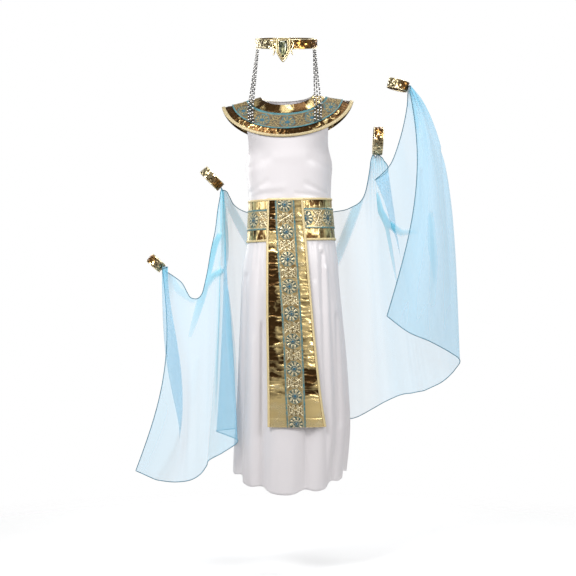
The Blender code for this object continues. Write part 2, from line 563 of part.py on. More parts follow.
def make_strands(strand):
    """Three strings of beads fused to a backing that follows the headband's lower edge."""
    edges = np.array([-3.2, -2.0, -1.0, -0.2 - 0.3, 0.5, 1.0, 2.0, 3.2]) * 2.0 + strand.root_angle
    inner = head_point(edges, -HEAD_WIDTH / 2 - 0.0004, -STRAND_RADIUS)
    outer = head_point(edges, -HEAD_WIDTH / 2 - 0.0004, STRAND_RADIUS)
    drop = np.array([0, 0, -0.006])
    work = bmesh.new()
    ring = [[work.verts.new(tuple(point)) for point in (outer[k], outer[k] + drop, inner[k] + drop, inner[k])]
            for k in range(len(edges))]
    work.faces.new(ring[0])
    work.faces.new(list(reversed(ring[-1])))
    cells = {1: 0, 3: 1, 5: 2}
    for k in range(len(edges) - 1):
        for side in range(4):
            after = (side + 1) % 4
            if side == 1 and k in cells:
                continue
            work.faces.new((ring[k][side], ring[k + 1][side], ring[k + 1][after], ring[k][after]))
    for k, number in cells.items():
        start = [ring[k][1], ring[k + 1][1], ring[k + 1][2], ring[k][2]]
        middle = np.mean([np.array(vertex.co) for vertex in start], axis=0)
        path = strand_path(strand, strand.collar_x[number], middle)
        previous = start
        for index, point in enumerate(path):
            following = path[min(index + 1, len(path) - 1)]
            before = path[index - 1] if index else middle
            direction = following - before
            direction /= np.linalg.norm(direction)
            side = np.array(start[1].co) - np.array(start[0].co)
            side -= direction * side.dot(direction)
            side *= STRAND_RADIUS / np.linalg.norm(side)
            ahead = np.cross(direction, side)
            ahead *= STRAND_RADIUS / np.linalg.norm(ahead)
            if ahead.dot(np.array(start[0].co) - np.array(start[3].co)) < 0:
                ahead = -ahead
            corners = [point - side + ahead, point + side + ahead, point + side - ahead, point - side - ahead]
            current = [work.verts.new(tuple(corner)) for corner in corners]
            for corner in range(4):
                after = (corner + 1) % 4
                work.faces.new((previous[corner], previous[after], current[after], current[corner]))
            previous = current
        work.faces.new(previous)
    finish_piece("beads_" + strand.side, work, "beads")


for old in list(bpy.data.objects):
    bpy.data.objects.remove(old)
COSTUME = bpy.data.collections.new("egyptian_queen_costume")
bpy.context.scene.collection.children.link(COSTUME)

make_dress()
make_collar()
make_belt()
make_panel()
make_drape()
make_bands()
make_headband()
for bundle in STRANDS:
    make_strands(bundle)
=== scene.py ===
"""Looks of the Egyptian queen costume, laid out as a Blender add-on and run as a script."""
import math
from collections import namedtuple

import bpy
import numpy as np
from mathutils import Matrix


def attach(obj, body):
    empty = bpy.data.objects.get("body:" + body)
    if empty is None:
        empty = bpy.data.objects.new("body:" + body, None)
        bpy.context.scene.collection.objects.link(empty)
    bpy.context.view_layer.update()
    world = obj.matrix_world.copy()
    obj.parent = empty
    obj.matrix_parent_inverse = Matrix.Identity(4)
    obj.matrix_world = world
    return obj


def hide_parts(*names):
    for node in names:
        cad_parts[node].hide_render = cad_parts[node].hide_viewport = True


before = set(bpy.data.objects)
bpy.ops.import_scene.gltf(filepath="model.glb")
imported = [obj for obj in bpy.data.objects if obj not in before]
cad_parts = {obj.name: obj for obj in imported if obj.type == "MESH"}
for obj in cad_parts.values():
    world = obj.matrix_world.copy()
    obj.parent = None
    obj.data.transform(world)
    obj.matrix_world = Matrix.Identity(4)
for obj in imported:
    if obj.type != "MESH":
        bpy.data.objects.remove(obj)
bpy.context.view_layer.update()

bl_info = {
    "name": "Egyptian Queen Costume",
    "version": (1, 0, 0),
    "blender": (4, 5, 0),
    "location": "View3D > Sidebar > Costume",
    "description": "Builds the cloth, trims, bands and jewels of an Egyptian queen costume in its worn form",
    "category": "Object",
}


def table(row_type, lengths, *rows):
    """Named rows. Values at the places in lengths are written in millimetres and kept in metres."""
    return tuple(row_type(*(np.array(value) / 1000 if place in lengths else value
                            for place, value in enumerate(row))) for row in rows)


# Rings of the body, from the neck edge down to the hem, as in the solids
Section = namedtuple("Section", "name centre_x half_width half_depth z_side z_front z_back fold tilt reach")
SECTIONS = table(
    Section, range(1, 8),
    ("neck", -2.5, 64, 56, 6, -20.5, 2, 0, 0.05, 90),
    ("shoulder", -2, 94, 67, -1, -42, -27, 0, 0.05, 90),
    ("shoulder_end", -1.5, 114.5, 75.5, -6, -60, -48, 0, 0.05, 90),
    ("armhole_top", -1.2, 126, 80, -8.2, -70.5, -59.5, 0, 0.05, 66),
    ("ribbon_edge", -1, 138, 84, -10.4, -81, -71, 0, 0.05, 50),
    ("collar_rim", -0.8, 154, 86.8, -12.8, -93.5, -86.5, 0, 0.05, 41),
    ("collar_edge", -0.5, 164, 88, -14.5, -101, -95, 0, 0.05, 37),
    ("chest", 1, 108.5, 86.8, -118, -132, -128, 0, 0.03, 64),
    ("underarm", 2.5, 106, 84.5, -162.5, -168, -165, 0, 0.02, 90),
    ("ribs", 3.8, 103, 82, -205, -208, -206, 0, 0.02, 90),
    ("belt_top", 5, 100.8, 80, -250, -250, -250, 0, 0.03, 90),
    ("belt_mid", 6.5, 103.5, 81.5, -302.5, -302.5, -302.5, 0, 0.03, 90),
    ("belt_bottom", 7.8, 108, 85, -355, -355, -355, 0, 0.03, 90),
    ("hip", 6.8, 115.5, 90, -403, -404, -403, 0.5, 0.01, 90),
    ("seat", 6.2, 119, 93, -460, -462, -460, 2, 0, 90),
    ("thigh", 8.5, 123, 95.5, -540, -543, -540, 4, 0, 90),
    ("knee", 11, 127.5, 98.5, -630, -635, -631, 6, 0, 90),
    ("calf_high", 12.5, 131, 102, -720, -728, -721, 7.8, 0, 90),
    ("calf_mid", 12, 134, 106, -800, -814, -802, 9.2, 0, 90),
    ("calf_low", 8, 133, 111, -868, -890, -872, 10.4, 0, 90),
    ("hem", 4.5, 130.5, 115, -917, -962, -926, 11.2, 0, 90),
)
ROW = {section.name: index for index, section in enumerate(SECTIONS)}
SHOULDER_ROUND = 0.15

# Folds of the skirt between two angles, and how far it drops for each metre that they swell
Fold = namedtuple("Fold", "name start end height")
FOLDS = table(
    Fold, (),
    ("back_right", -164, -131, 0.9),
    ("side_right_back", -131, -97, 0.8),
    ("side_right", -97, -66, 0.9),
    ("front_right", -66, -32, 0.9),
    ("front_middle", -32, 16, 1.2),
    ("front_left", 16, 50, 1),
    ("side_left_front", 50, 76, 0.8),
    ("side_left", 76, 104, 0.9),
    ("side_left_back", 104, 133, 0.8),
    ("back_left", 133, 163, 0.9),
    ("back_middle", 163, 196, 0.8),
)
FOLD_DROP = 0.75

# Soft creases of the satin, as lines from one x, z to another; below 0 is a trough
Crease = namedtuple("Crease", "name x0 z0 x1 z1 width height")
FRONT_CREASES = table(
    Crease, range(1, 7),
    ("over_belt_left", -85, -242, -20, -236, 6, -1.1),
    ("over_belt_right", 18, -238, 88, -244, 5.5, -1),
    ("waist_ridge", -70, -226, -10, -222, 7, 0.8),
    ("waist_pull", 95, -236, 45, -214, 6, -1),
    ("waist_pull_low", -95, -234, -52, -208, 6, -0.9),
    ("bust_right", -96, -172, -50, -152, 9, -1),
    ("bust_left", 98, -172, 56, -154, 9, -1),
    ("chest_soft", -30, -150, 35, -147, 14, 0.8),
    ("gather_a", -92, -362, -99, -440, 4, -0.9),
    ("gather_b", -78, -362, -82, -415, 3.5, -0.8),
    ("gather_c", -64, -362, -66, -470, 4, -0.9),
    ("gather_d", 60, -362, 66, -450, 4, -0.9),
    ("gather_e", 76, -362, 83, -520, 4.5, -1.2),
    ("gather_f", 92, -362, 104, -430, 4, -0.8),
    ("gather_g", 103, -362, 113, -500, 4.5, -0.9),
    ("fall_left_a", 84, -385, 98, -960, 6.5, -3.5),
    ("fall_left_b", 93, -420, 116, -930, 7, 2.6),
    ("fall_left_c", 120, -540, 128, -800, 6, -2.9),
    ("fall_middle", 43, -810, 43, -968, 4.5, -2.6),
    ("fall_right", -64, -560, -64, -968, 4.8, -4.2),
    ("fall_right_b", -105, -440, -112, -940, 7, -2.6),
    ("fall_right_c", -88, -600, -92, -955, 9, 1.9),
    ("hem_soft_a", -30, -880, -34, -968, 8, -1),
    ("hem_soft_b", 10, -860, 12, -970, 9, 0.9),
)
BACK_CREASES = table(
    Crease, range(1, 7),
    ("over_belt_left", 12, -240, 80, -236, 6, -1.1),
    ("over_belt_right", -78, -234, -14, -242, 5.5, -1),
    ("blade_left", 84, -168, 40, -190, 9, -1),
    ("blade_right", -80, -170, -36, -188, 9, -1),
    ("gather_a", 30, -362, 32, -450, 4, -1.4),
    ("gather_b", 58, -362, 63, -500, 4.5, -1.6),
    ("gather_c", 88, -362, 96, -440, 4, -1.3),
    ("gather_d", -34, -362, -37, -480, 4.5, -1.5),
    ("gather_e", -66, -362, -72, -440, 4, -1.3),
    ("fall_left", 62, -560, 64, -930, 6, -2.4),
    ("fall_right", -52, -520, -50, -930, 6, -3.6),
    ("fall_side_left", 104, -480, 112, -900, 7, -2.4),
    ("fall_side_right", -98, -500, -106, -900, 7, -2.4),
)

# Edges of the front panel and of its ribbon at each height
PanelRow = namedtuple("PanelRow", "name z left right ribbon_left ribbon_right")
PANEL_ROWS = table(
    PanelRow, range(1, 6),
    ("top", -250, -51.5, 37, -32.5, 15),
    ("belt_mid", -302, -52.5, 40.5, -30.8, 18.2),
    ("belt_bottom", -355, -53.5, 45.5, -28.3, 21.2),
    ("hip", -403.5, -53.7, 49.5, -25.5, 24.2),
    ("seat", -461, -53.8, 54.5, -21.5, 28),
    ("thigh_high", -502, -53.8, 58, -18.5, 30.5),
    ("thigh", -543, -53.5, 61.8, -15.5, 33.5),
    ("knee_high", -589, -52.8, 66, -13, 36),
    ("knee", -635, -52, 70.5, -11, 37.8),
    ("knee_low", -681, -51.2, 75.5, -9.2, 39.5),
    ("calf_high", -728, -50.3, 80.8, -7.5, 41.2),
    ("calf", -768, -50, 86.5, -5.5, 42.5),
    ("bottom", -808, -50, 93.5, -3, 44),
)

# Lines that the chiffon falls along. All but wrist_r_pleat_out, wrist_r_pleat_in, swag_r_1 and fold_in are as
# in the solids. Gather is how tightly the cloth is drawn up, and peak is how far down the bow is widest.
DrapeLine = namedtuple("DrapeLine", "name top_x top_y top_z hem_x hem_y hem_z gather bow bow_y peak",
                       defaults=(0, 0, 0.5))
DRAPE_LINES = table(
    DrapeLine, (1, 2, 3, 4, 5, 6, 8, 9),
    ("wrist_r_end", -310.2, -45, -423, -367, -140, -911, 1, 37, -4),
    ("wrist_r_pleat_out", -296.1, -52, -418.2, -322, -168, -927, 1, 58, -14, 0.65),
    ("wrist_r_pleat_in", -312, -37, -422.2, -300, -135, -936, 1, 40, 8, 0.8),
    ("swag_r_1", -265.4, -32, -455.1, -270, -136, -939, 0.3, 18, 0, 0.75),
    ("swag_r_low", -240.4, -34, -494.8, -236, -140, -933, 0),
    ("swag_r_2", -209.7, -30, -479.9, -211, -126, -920, 0),
    ("swag_r_3", -187.8, -20, -368, -198, -113, -902, 0.3, 5),
    ("arm_r_1", -168.2, -12, -233.2, -191, -100, -889, 1, 7),
    ("arm_r_2", -163.6, -4, -227.7, -159, -80, -873, 1),
    ("arm_r_3", -167.7, 3.8, -219.4, -123, -60, -847, 1),
    ("arm_r_4", -164.2, 12, -224.3, -151, -38, -835, 1),
    ("arm_r_5", -159.5, 20, -225, -178, -12, -826, 1, 7),
    ("arm_r_6", -152.4, 30, -230.7, -147, 50, -827, 0.7),
    ("back_1", -136.5, 44, -260.2, -115, 100, -829, 0.1, 0, 5),
    ("back_2", -103.9, 56, -278.1, -83, 138, -829, 0, 0, 10),
    ("back_3", -51, 77, -281.3, -36, 160, -831, 0, 0, 10),
    ("back_centre", 5.1, 86.5, -283.5, 18, 168, -827, 0, 0, 10),
    ("back_4", 61.2, 77, -282.6, 78, 160, -821, 0, 0, 10),
    ("back_5", 119.1, 56, -276.6, 137, 138, -811, 0, 0, 10),
    ("back_6", 156.7, 44, -267.8, 175, 112, -802, 0, 0, 5),
    ("back_7", 191.5, 32, -238.2, 215, 94, -780, 0.1),
    ("arm_l_1", 210, 24, -143.1, 245, 84, -761, 1, -7),
    ("arm_l_2", 219.6, 15, -141.3, 273, 79, -748, 1, -7),
    ("arm_l_3", 225, 4.5, -137, 295, 74, -740, 1, -5),
    ("arm_l_4", 236.1, -3, -146.5, 315, 69, -737, 1),
    ("fold_out", 249.2, -12, -175.9, 333, 63, -733, 0.4),
    ("fold_in", 216.2, -23, -201.6, 347, 57, -729, 0.2, 18, 0, 0.38),
    ("fold_back", 245.3, -35, -175.1, 364, 50, -721, 0.2, -5),
    ("swag_l_1", 262.2, -43, -146, 384, 42, -710, 0),
    ("swag_l_2", 281.4, -50, -84.9, 406, 32, -692, 0, 10, 0, 0.45),
    ("swag_l_3", 293.3, -56, -23.8, 422, 18, -672, 0.4, 30, 0, 0.38),
    ("wrist_l_1", 295.7, -63, 21.8, 429, -4, -650, 1, 54, 0, 0.3),
    ("wrist_l_2", 301, -69, 26.3, 403, -24, -630, 1, 43, -10, 0.4),
    ("wrist_l_3", 301.7, -75, 23.1, 351, -46, -602, 1, 40, -16, 0.4),
    ("wrist_l_4", 300, -81, 17.4, 296, -56, -578, 1, 40, -10, 0.43),
    ("wrist_l_end", 297.1, -87, 11.8, 243, -66, -539, 1, 40, 0, 0.45),
)
RIPPLE_HEIGHT = 0.004
RIPPLE_TURN = 2.6
PLEATS = 1.7

# Folds laid over the drape between two of its lines, along points in x and z; the cloth looks denser there
DrapeFold = namedtuple("DrapeFold", "name first last density width height points")
DRAPE_FOLDS = table(
    DrapeFold, (4, 5, 6),
    ("wedge_right", 3, 8, 0.95, 12, 5, ((-171, -339), (-189, -389), (-210, -482), (-241, -587))),
    ("crescent_right", 3, 8, 0.95, 9, 4, ((-151, -419), (-189, -444), (-210, -482))),
    ("swag_edge_right", 2, 7, 0.5, 11, 2,
     ((-302, -420), (-272, -475), (-238, -497), (-210, -490), (-191, -438))),
    ("arm_strip_right", 7, 12, 0.85, 10, 3, ((-167, -232), (-163, -300), (-158, -375), (-160, -430))),
    ("waist_right", 11, 16, 0.6, 12, 4, ((-165, -229), (-141, -276), (-104, -344), (-65, -415))),
    ("fall_right_a", 7, 13, 0.95, 4, 3, ((-170, -405), (-173, -575), (-177, -799))),
    ("fall_right_b", 7, 13, 0.45, 9, 3, ((-155, -475), (-142, -650), (-130, -824))),
    ("hem_right", 4, 7, 0.2, 12, 3, ((-222, -645), (-234, -743), (-244, -841))),
    ("back_right", 12, 16, 0.25, 14, 5, ((-60, -300), (-75, -520), (-82, -800))),
    ("back_left", 16, 20, 0.25, 16, 5, ((40, -300), (72, -500), (85, -790))),
    ("waist_left", 17, 23, 0.65, 13, 4, ((211, -154), (170, -275), (127, -390), (85, -480))),
    ("crescent_left", 22, 30, 0.95, 9, 4, ((216, -213), (229, -266), (251, -310), (282, -332), (320, -330))),
    ("line_left", 22, 30, 0.85, 5, 3, ((227, -233), (249, -318), (275, -461))),
    ("arm_fall_a", 30, 35, 0.55, 6, 3, ((302, 23), (315, -56), (322, -152))),
    ("arm_fall_b", 30, 35, 0.4, 4, 3, ((305, 13), (335, -81), (350, -204))),
    ("front_fall_a", 29, 35, 0.45, 11, 4, ((351, -289), (359, -408), (356, -567))),
    ("front_fall_b", 29, 35, 0.25, 6, 3, ((379, -128), (394, -326), (408, -574))),
    ("front_fall_c", 29, 35, 0.3, 5, 3, ((326, -179), (328, -290), (316, -406))),
)
# How dense the single layer looks at each line
DRAPE_DENSITY = ((0, 0.28), (2.5, 0.19), (6, 0.19), (7, 0.36), (11, 0.36), (12, 0.12), (13, 0.02), (20, 0.02),
                 (22, 0.20), (29, 0.20), (31, 0.26), (34, 0.31), (35, 0.34))

# Painted dark reflections and painted highlights of the lame, at x and z: the half widths there, and how much
# darker it is painted; below zero is a painted highlight
Shade = namedtuple("Shade", "name x z wide tall darker")
PANEL_SHADES = table(
    Shade, range(1, 5),
    ("top_right", -41, -285, 9, 35, 0.75),
    ("high_right", -42, -350, 12, 22, -0.3),
    ("middle_right", -42, -450, 14, 60, 0.32),
    ("low_right", -40, -590, 15, 85, 0.42),
    ("flash_right", -34, -706, 20, 18, -0.55),
    ("high_left", 33, -400, 16, 120, -0.55),
    ("middle_left", 50, -535, 14, 30, -0.4),
    ("flash_left", 56, -620, 18, 24, -0.45),
    ("low_left", 58, -690, 18, 24, 0.5),
)
BELT_SHADES = table(
    Shade, range(1, 5),
    ("top_right", -85, -262, 18, 12, -0.3),
    ("right_patch", -66, -345, 12, 10, 0.35),
    ("top_left", 62, -262, 18, 12, 0.35),
    ("left_bright", 98, -263, 10, 12, -0.35),
    ("low_left", 60, -345, 16, 10, 0.35),
)
# Painted dark reflections at the neck band's sides and a painted highlight in its middle
NECK_SHADES = table(
    Shade, range(1, 5),
    ("right", -40, -20, 24, 60, 0.85),
    ("middle", -2, -24, 11, 60, -0.5),
    ("left_dark", 32, -20, 18, 60, 0.8),
    ("left", 56, -12, 9, 60, -0.4),
)
# Painted dark reflections over the shoulders and painted shade over the front of the collar
COLLAR_SHADES = table(
    Shade, range(1, 5),
    ("shoulder_right", -145, 0, 40, 60, 1),
    ("front", -5, -80, 85, 36, 0.7),
    ("shoulder_left", 148, 0, 38, 60, 1),
)

# Limb bands: centre, outer radius, direction of the limb, and the side whose sequins are painted amber as
# shade
Band = namedtuple("Band", "name centre radius axis amber_way")
BANDS = table(
    Band, (1, 2),
    ("armband_right", (-190, 0, -196.3), 31.5, (-0.715, 0, -0.699), (0.7, 0, -0.7)),
    ("cuff_right", (-327.5, -30, -408), 21.3, (-0.67, 0, -0.742), (-0.7, 0, 0.7)),
    ("armband_left", (225, 0, -102.5), 34.5, (0.9987, 0, -0.05), (0, 0, 1)),
    ("cuff_left", (270.9, -60, 29.9), 25.4, (-0.24, 0, -0.971), (1, 0, -0.2)),
)
BAND_WIDTH = 0.024
HEAD_CENTRE = (-0.0040, -0.0050, 0.1410)
HEAD_HALF = (0.0745, 0.0915)
HEAD_SLOPE = 0.18
HEAD_ROUND = 0.53

# Outline of the medallion from its top down, and the rings that its setting and its stone rise in:
# how many millimetres ahead of the back, and how large
ShieldRow = namedtuple("ShieldRow", "name z half_width")
SHIELD = table(
    ShieldRow, (1, 2),
    ("top", 140.5, 15),
    ("shoulder", 136.5, 16.7),
    ("wide", 118, 18),
    ("waist", 104, 16.5),
    ("taper", 96.5, 12.7),
    ("low", 87, 6.9),
    ("point", 80.5, 1.5),
)
SHIELD_X = -0.0122
SHIELD_MIDDLE_Z = 0.1150
SHIELD_BACK_Y = -0.0990
SETTING_RINGS = ((0, 0.97), (1.2, 1), (3.4, 0.98), (4.2, 0.92), (3.6, 0.86), (1.4, 0.82), (1.4, 0.76),
                 (3.6, 0.72), (4.4, 0.66), (3.6, 0.6), (1.2, 0.56))
STONE_RINGS = ((1.4, 0.555), (4, 0.545), (5.4, 0.44), (6.6, 0.24), (7, 0.02))

Scroll = namedtuple("Scroll", "name points")
SCROLLS = table(
    Scroll, (1,),
    ("scroll_right", ((-33.5, 134), (-37.2, 126.5), (-36, 118), (-33.2, 111), (-33.5, 104), (-36.5, 98.5))),
    ("scroll_left", ((9.1, 134), (12.8, 126.5), (11.6, 118), (8.8, 111), (9.1, 104), (12.1, 98.5))),
)

# Bundles of bead strings: where they leave the headband, and where they lie on the collar
Strand = namedtuple("Strand", "side root_angle first_level last_level collar_x")
STRANDS = table(
    Strand, (4,),
    ("right", -74, 1.8, 3.9, (-94.5, -89, -83.5)),
    ("left", 69, 1.4, 3.8, (66, 73.5, 81)),
)

# Cloth and trims: sizes and places in metres, and the lines across a braid
SEAM_GAP = 0.0002
SATIN_WALL = 0.0013
CLOTH_WALL = 0.0010
TRIM_WALL = 0.0009
BRAID_LINES = 8
BRAID_BULGE = 0.0004
BELT_DEPTH = 0.105
BELT_RIBBON = (0.025, 0.076)
PANEL_TOP = -0.250
PANEL_TRIM_TOP = -0.256
PANEL_HEM = -0.808
PANEL_TURN_UP = 0.478
PANEL_STITCHES = 0.536
HEADBAND_WALL = 0.002
COVER_SINK = 0.0004
HEM_RADIUS = 0.0010

# Wire, grains, threads and the distance that strings lie outside the rings of the collar, in metres
SCROLL_AHEAD = 0.0044
WIRE_RADIUS = 0.0021
WIRE_TAPER = 0.0009
GRAIN_RADIUS = 0.0013
THREAD_RADIUS = 0.0006
STRAND_OUT = 0.0077
STRAND_ANGLE = 4.6
BEAD_PITCH = 1.95
DARK_BEAD = 0.86
SEQUIN_PITCH = 1.5

FLOOR_Z = -1.17
FLOOR_RADIUS = 2
CAMERA_PLACE = (0, -4.0, -0.47)
CAMERA_LENS = 100
Light = namedtuple("Light", "name place aim_z size power spread")
LIGHTS = table(
    Light, (),
    ("key", (-1.2, -1.8, 1.5), -0.02, 1.1, 10, 58),
    ("fill", (2, -1.8, 0.8), -0.05, 1.3, 10, 80),
    ("side", (-2.2, -0.9, 0), -0.2, 1, 4.5, 120),
    ("top", (0.3, -0.3, 1.9), -0.3, 1, 6, 90),
    ("back_key", (1.2, 2.2, 1.4), -0.3, 1.4, 27, 120),
    ("back_fill", (-1.8, 2, 0.4), -0.3, 1.4, 12, 120),
)


def fold_height(angle):
    """Height of the skirt's folds: 0 in a valley, then 1 less a cosine to the fourth power, 1 on a ridge."""
    height = np.zeros_like(angle)
    for fold in FOLDS:
        share = np.mod(angle - fold.start, 360) / (fold.end - fold.start)
        height += np.where(share < 1, fold.height * (1 - np.cos(np.pi * share) ** 4), 0)
    return height


def ring_points(section, angle):
    """Ring of points: an ellipse in plan, its height falling from the sides towards front and back."""
    turn = np.radians(angle)
    swell = section.fold * fold_height(angle)
    across = section.centre_x + (section.half_width + swell) * np.sin(turn)
    depth = -(section.half_depth + swell) * np.cos(turn)
    most = math.hypot(1, SHOULDER_ROUND) - SHOULDER_ROUND
    ahead = (np.hypot(np.cos(turn), SHOULDER_ROUND) - SHOULDER_ROUND) / most
    ends = np.where(np.cos(turn) > 0, section.z_front, section.z_back)
    height = section.z_side + (ends - section.z_side) * ahead + section.tilt * across - FOLD_DROP * swell
    return np.stack([across, depth, height], axis=-1)


def smooth_rows(rows, position):
    """Rows joined by a Catmull-Rom curve through each of them, read at fractional row numbers."""
    rows = np.asarray(rows, dtype=float)
    position = np.asarray(position, dtype=float)
    low = np.clip(np.floor(position).astype(int), 0, len(rows) - 2)
    share = (position - low).reshape(-1, *([1] * (rows.ndim - 1)))
    padded = np.concatenate([2 * rows[:1] - rows[1:2], rows, 2 * rows[-1:] - rows[-2:-1]])
    p0, p1, p2, p3 = (padded[low + k] for k in range(4))
    return 0.5 * (2 * p1 + (p2 - p0) * share + (2 * p0 - 5 * p1 + 4 * p2 - p3) * share ** 2
                  + (3 * p1 - p0 - 3 * p2 + p3) * share ** 3)


def turns(count):
    """Angles of a number of even steps round a circle."""
    return np.linspace(0, 2 * np.pi, count, endpoint=False)


def unit(vectors):
    """Vectors divided by their lengths."""
    return vectors / np.maximum(np.linalg.norm(vectors, axis=-1, keepdims=True), 1e-12)


def running_length(points):
    """Length from the first point on, summed along the first axis and averaged over any second one."""
    step = np.linalg.norm(np.diff(points, axis=0), axis=-1)
    return np.concatenate([[0], np.cumsum(step.reshape(len(step), -1).mean(axis=1))])


def normals_of(points, closed=False):
    """Unit normals of a grid, from the cross product of its two directions."""
    if closed:
        across = np.roll(points, -1, axis=1) - np.roll(points, 1, axis=1)
    else:
        across = np.gradient(points, axis=1)
    return unit(np.cross(np.gradient(points, axis=0), across))


def value_noise(x, y, seed):
    """Smooth noise from 0 to 1: random numbers at whole-number corners, blended by a smoothstep."""
    def corner(i, j):
        """Random number of one corner, from the digits of a sine."""
        mixed = np.sin(i * 127.1 + j * 311.7 + seed * 74.7) * 43758.5453
        return mixed - np.floor(mixed)

    i, j = np.floor(x), np.floor(y)
    fx, fy = x - i, y - j
    fx, fy = fx * fx * (3 - 2 * fx), fy * fy * (3 - 2 * fy)
    low = corner(i, j) * (1 - fx) + corner(i + 1, j) * fx
    high = corner(i, j + 1) * (1 - fx) + corner(i + 1, j + 1) * fx
    return low * (1 - fy) + high * fy


def ridged(x, y, seed):
    """Creases: 1 along the lines where the noise passes one half, falling to 0 between them."""
    return 1 - np.abs(2 * value_noise(x, y, seed) - 1)


def puckers(along, across, seed):
    """Height of crinkled lame, 0 to about 1: long creases across the strip and fine ones between them."""
    warp = 0.6 * value_noise(along / 0.03, across / 0.02, seed + 5)
    large = ridged(along / 0.013 + warp, across / 0.045, seed)
    middle = ridged(along / 0.0075 + 2 * warp, across / 0.020, seed + 1)
    small = value_noise(along / 0.0040, across / 0.0060, seed + 2)
    return 0.44 * large ** 3 + 0.38 * middle ** 2 + 0.18 * small


def shade_sum(points, shades):
    """How much painted shade the lame has at each point, below zero a painted highlight: the sum of bells in
    x and z, one for each listed place.
    """
    total = np.zeros(points.shape[:2])
    for shade in shades:
        away = ((points[..., 0] - shade.x) / shade.wide) ** 2 + ((points[..., 2] - shade.z) / shade.tall) ** 2
        total += shade.darker * np.exp(-away)
    return total


def soft_step(value, width):
    """0 below zero and 1 above it, with a soft change as wide as width."""
    return np.clip(value / width + 0.5, 0, 1)


def brocade(across, along, pitch, width):
    """Woven ribbon: its height, and masks of thread, gap, teal, star and silk, at metres across and along it.

    A flower stands at each pitch: an eight-pointed star, a light ring, ten petals with dark gaps and
    a scalloped ring. Scrolls and crossed bands lie between them, and a beaded teal line runs along each edge.
    """
    def grain(wide, tall, seed):
        """Noise with spots of a given size."""
        return value_noise(across / wide, along / tall, seed)

    x = across * 0.050 / width
    cell = along / pitch
    y = (cell - np.round(cell)) * pitch
    side = np.abs(x)
    half = np.abs(cell - np.floor(cell) - 0.5) * pitch
    r = np.hypot(x, y) + 0.0018 * (grain(0.004, 0.004, 61) - 0.5)
    a = np.arctan2(y, x) + 0.35 * (grain(0.009, 0.009, 66) - 0.5)
    star = soft_step(0.0044 + 0.0022 * np.cos(8 * a) - r, 0.0005)
    light = soft_step(0.0007 - np.abs(r - 0.0080), 0.0005)
    ray = np.cos(10 * a + 90 * (r - 0.012)) + 0.9 * (grain(0.0025, 0.0025, 63) - 0.5)
    petal = soft_step(0.0034 - np.abs(r - 0.0128), 0.0007) * soft_step(ray - 0.05, 0.5)
    between = soft_step(0.0062 - np.abs(r - 0.0110), 0.0006) * (1 - petal)
    scallop = soft_step(0.0007 - np.abs(r - 0.0180 - 0.0009 * np.cos(10 * a)), 0.0005)
    inside = soft_step(0.0135 - half, 0.0008) * soft_step(0.0188 - side, 0.0008)
    inside = inside * soft_step(r - 0.0190, 0.0006)
    bend = 0.0018 * np.sin(half / 0.0135 * np.pi)
    cross = np.abs(side - 1.35 * half - bend) * 0.60
    curl = np.abs(np.hypot(side - 0.0125, half - 0.0028) - 0.0036)
    core = np.abs(np.hypot(side - 0.0050, half - 0.0092) - 0.0024)
    scroll = np.minimum(np.minimum(cross, curl), core) + 0.0007 * (grain(0.003, 0.003, 65) - 0.5)
    lattice = soft_step(0.0010 - scroll, 0.0005) * inside
    specks = soft_step(grain(0.0035, 0.0035, 62) - 0.62, 0.2)
    ground = inside * (1 - lattice) * (soft_step(0.0019 - scroll, 0.0006) + 0.7 * specks)
    bead = 0.5 + 0.5 * np.cos(2 * np.pi * along / 0.0030)
    line = soft_step(0.0021 - np.abs(side - 0.0223), 0.0004)
    stitch = soft_step(0.0006 - np.abs(side - 0.0195), 0.0003) * (0.4 + 0.6 * bead)
    worn = np.clip(0.45 + 0.75 * grain(0.0030, 0.0045, 67), 0, 1)
    thread = np.clip(petal + light + lattice + stitch, 0, 1) * worn
    gap = np.clip(between + ground, 0, 1)
    mottle = 0.20 + 0.35 * bead + 0.85 * grain(0.002, 0.004, 64)
    teal = np.clip(0.75 * scallop + line * mottle + 0.22 * between, 0, 1)
    height = 0.0006 * thread + 0.0007 * star + 0.0004 * scallop + line * (0.0003 + 0.0004 * bead)
    silk = np.clip(teal + star + 0.8 * gap, 0, 1)
    return height - 0.0002 * gap, {"thread": thread, "gap": gap, "teal": teal, "star": star, "silk": silk}


def grid_faces(rows, columns, closed):
    """Four corner numbers of each face of a grid."""
    number = np.arange(rows * columns).reshape(rows, columns)
    if closed:
        number = np.concatenate([number, number[:, :1]], axis=1)
    corners = number[:-1, :-1], number[1:, :-1], number[1:, 1:], number[:-1, 1:]
    return np.stack(corners, axis=-1).reshape(-1, 4)


def make_piece(name, finish, points, faces, slot="", nodes=(), masks=None, uv=None, smooth=True):
    """Object from arrays of points and faces, with float masks on its points and a UV map in metres.

    A piece with a slot rides the body and stands for its CAD nodes.
    """
    mesh = bpy.data.meshes.new(name)
    mesh.from_pydata(points.reshape(-1, 3), [], faces)
    mesh.polygons.foreach_set("use_smooth", np.full(len(mesh.polygons), smooth))
    for mask_name, values in (masks or {}).items():
        layer = mesh.attributes.new(mask_name, "FLOAT", "POINT")
        layer.data.foreach_set("value", np.ascontiguousarray(values, dtype=np.float32).ravel())
    if uv is not None:
        corner = np.empty(len(mesh.loops), dtype=np.int32)
        mesh.loops.foreach_get("vertex_index", corner)
        layer = mesh.uv_layers.new(name="metres")
        layer.data.foreach_set("uv", uv.reshape(-1, 2)[corner].astype(np.float32).ravel())
    mesh.validate()
    mesh.update()
    mesh.materials.append(LOOKS[finish])
    made = bpy.data.objects.new(name, mesh)
    bpy.context.scene.collection.objects.link(made)
    if slot:
        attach(made, "root")
        if nodes:
            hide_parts(*nodes)
    return made


def metres_uv(points):
    """UV map of a grid: the running lengths along its columns and its rows."""
    lengths = running_length(points.swapaxes(0, 1))[None, :], running_length(points)[:, None]
    return np.stack(np.broadcast_arrays(*lengths), axis=-1)


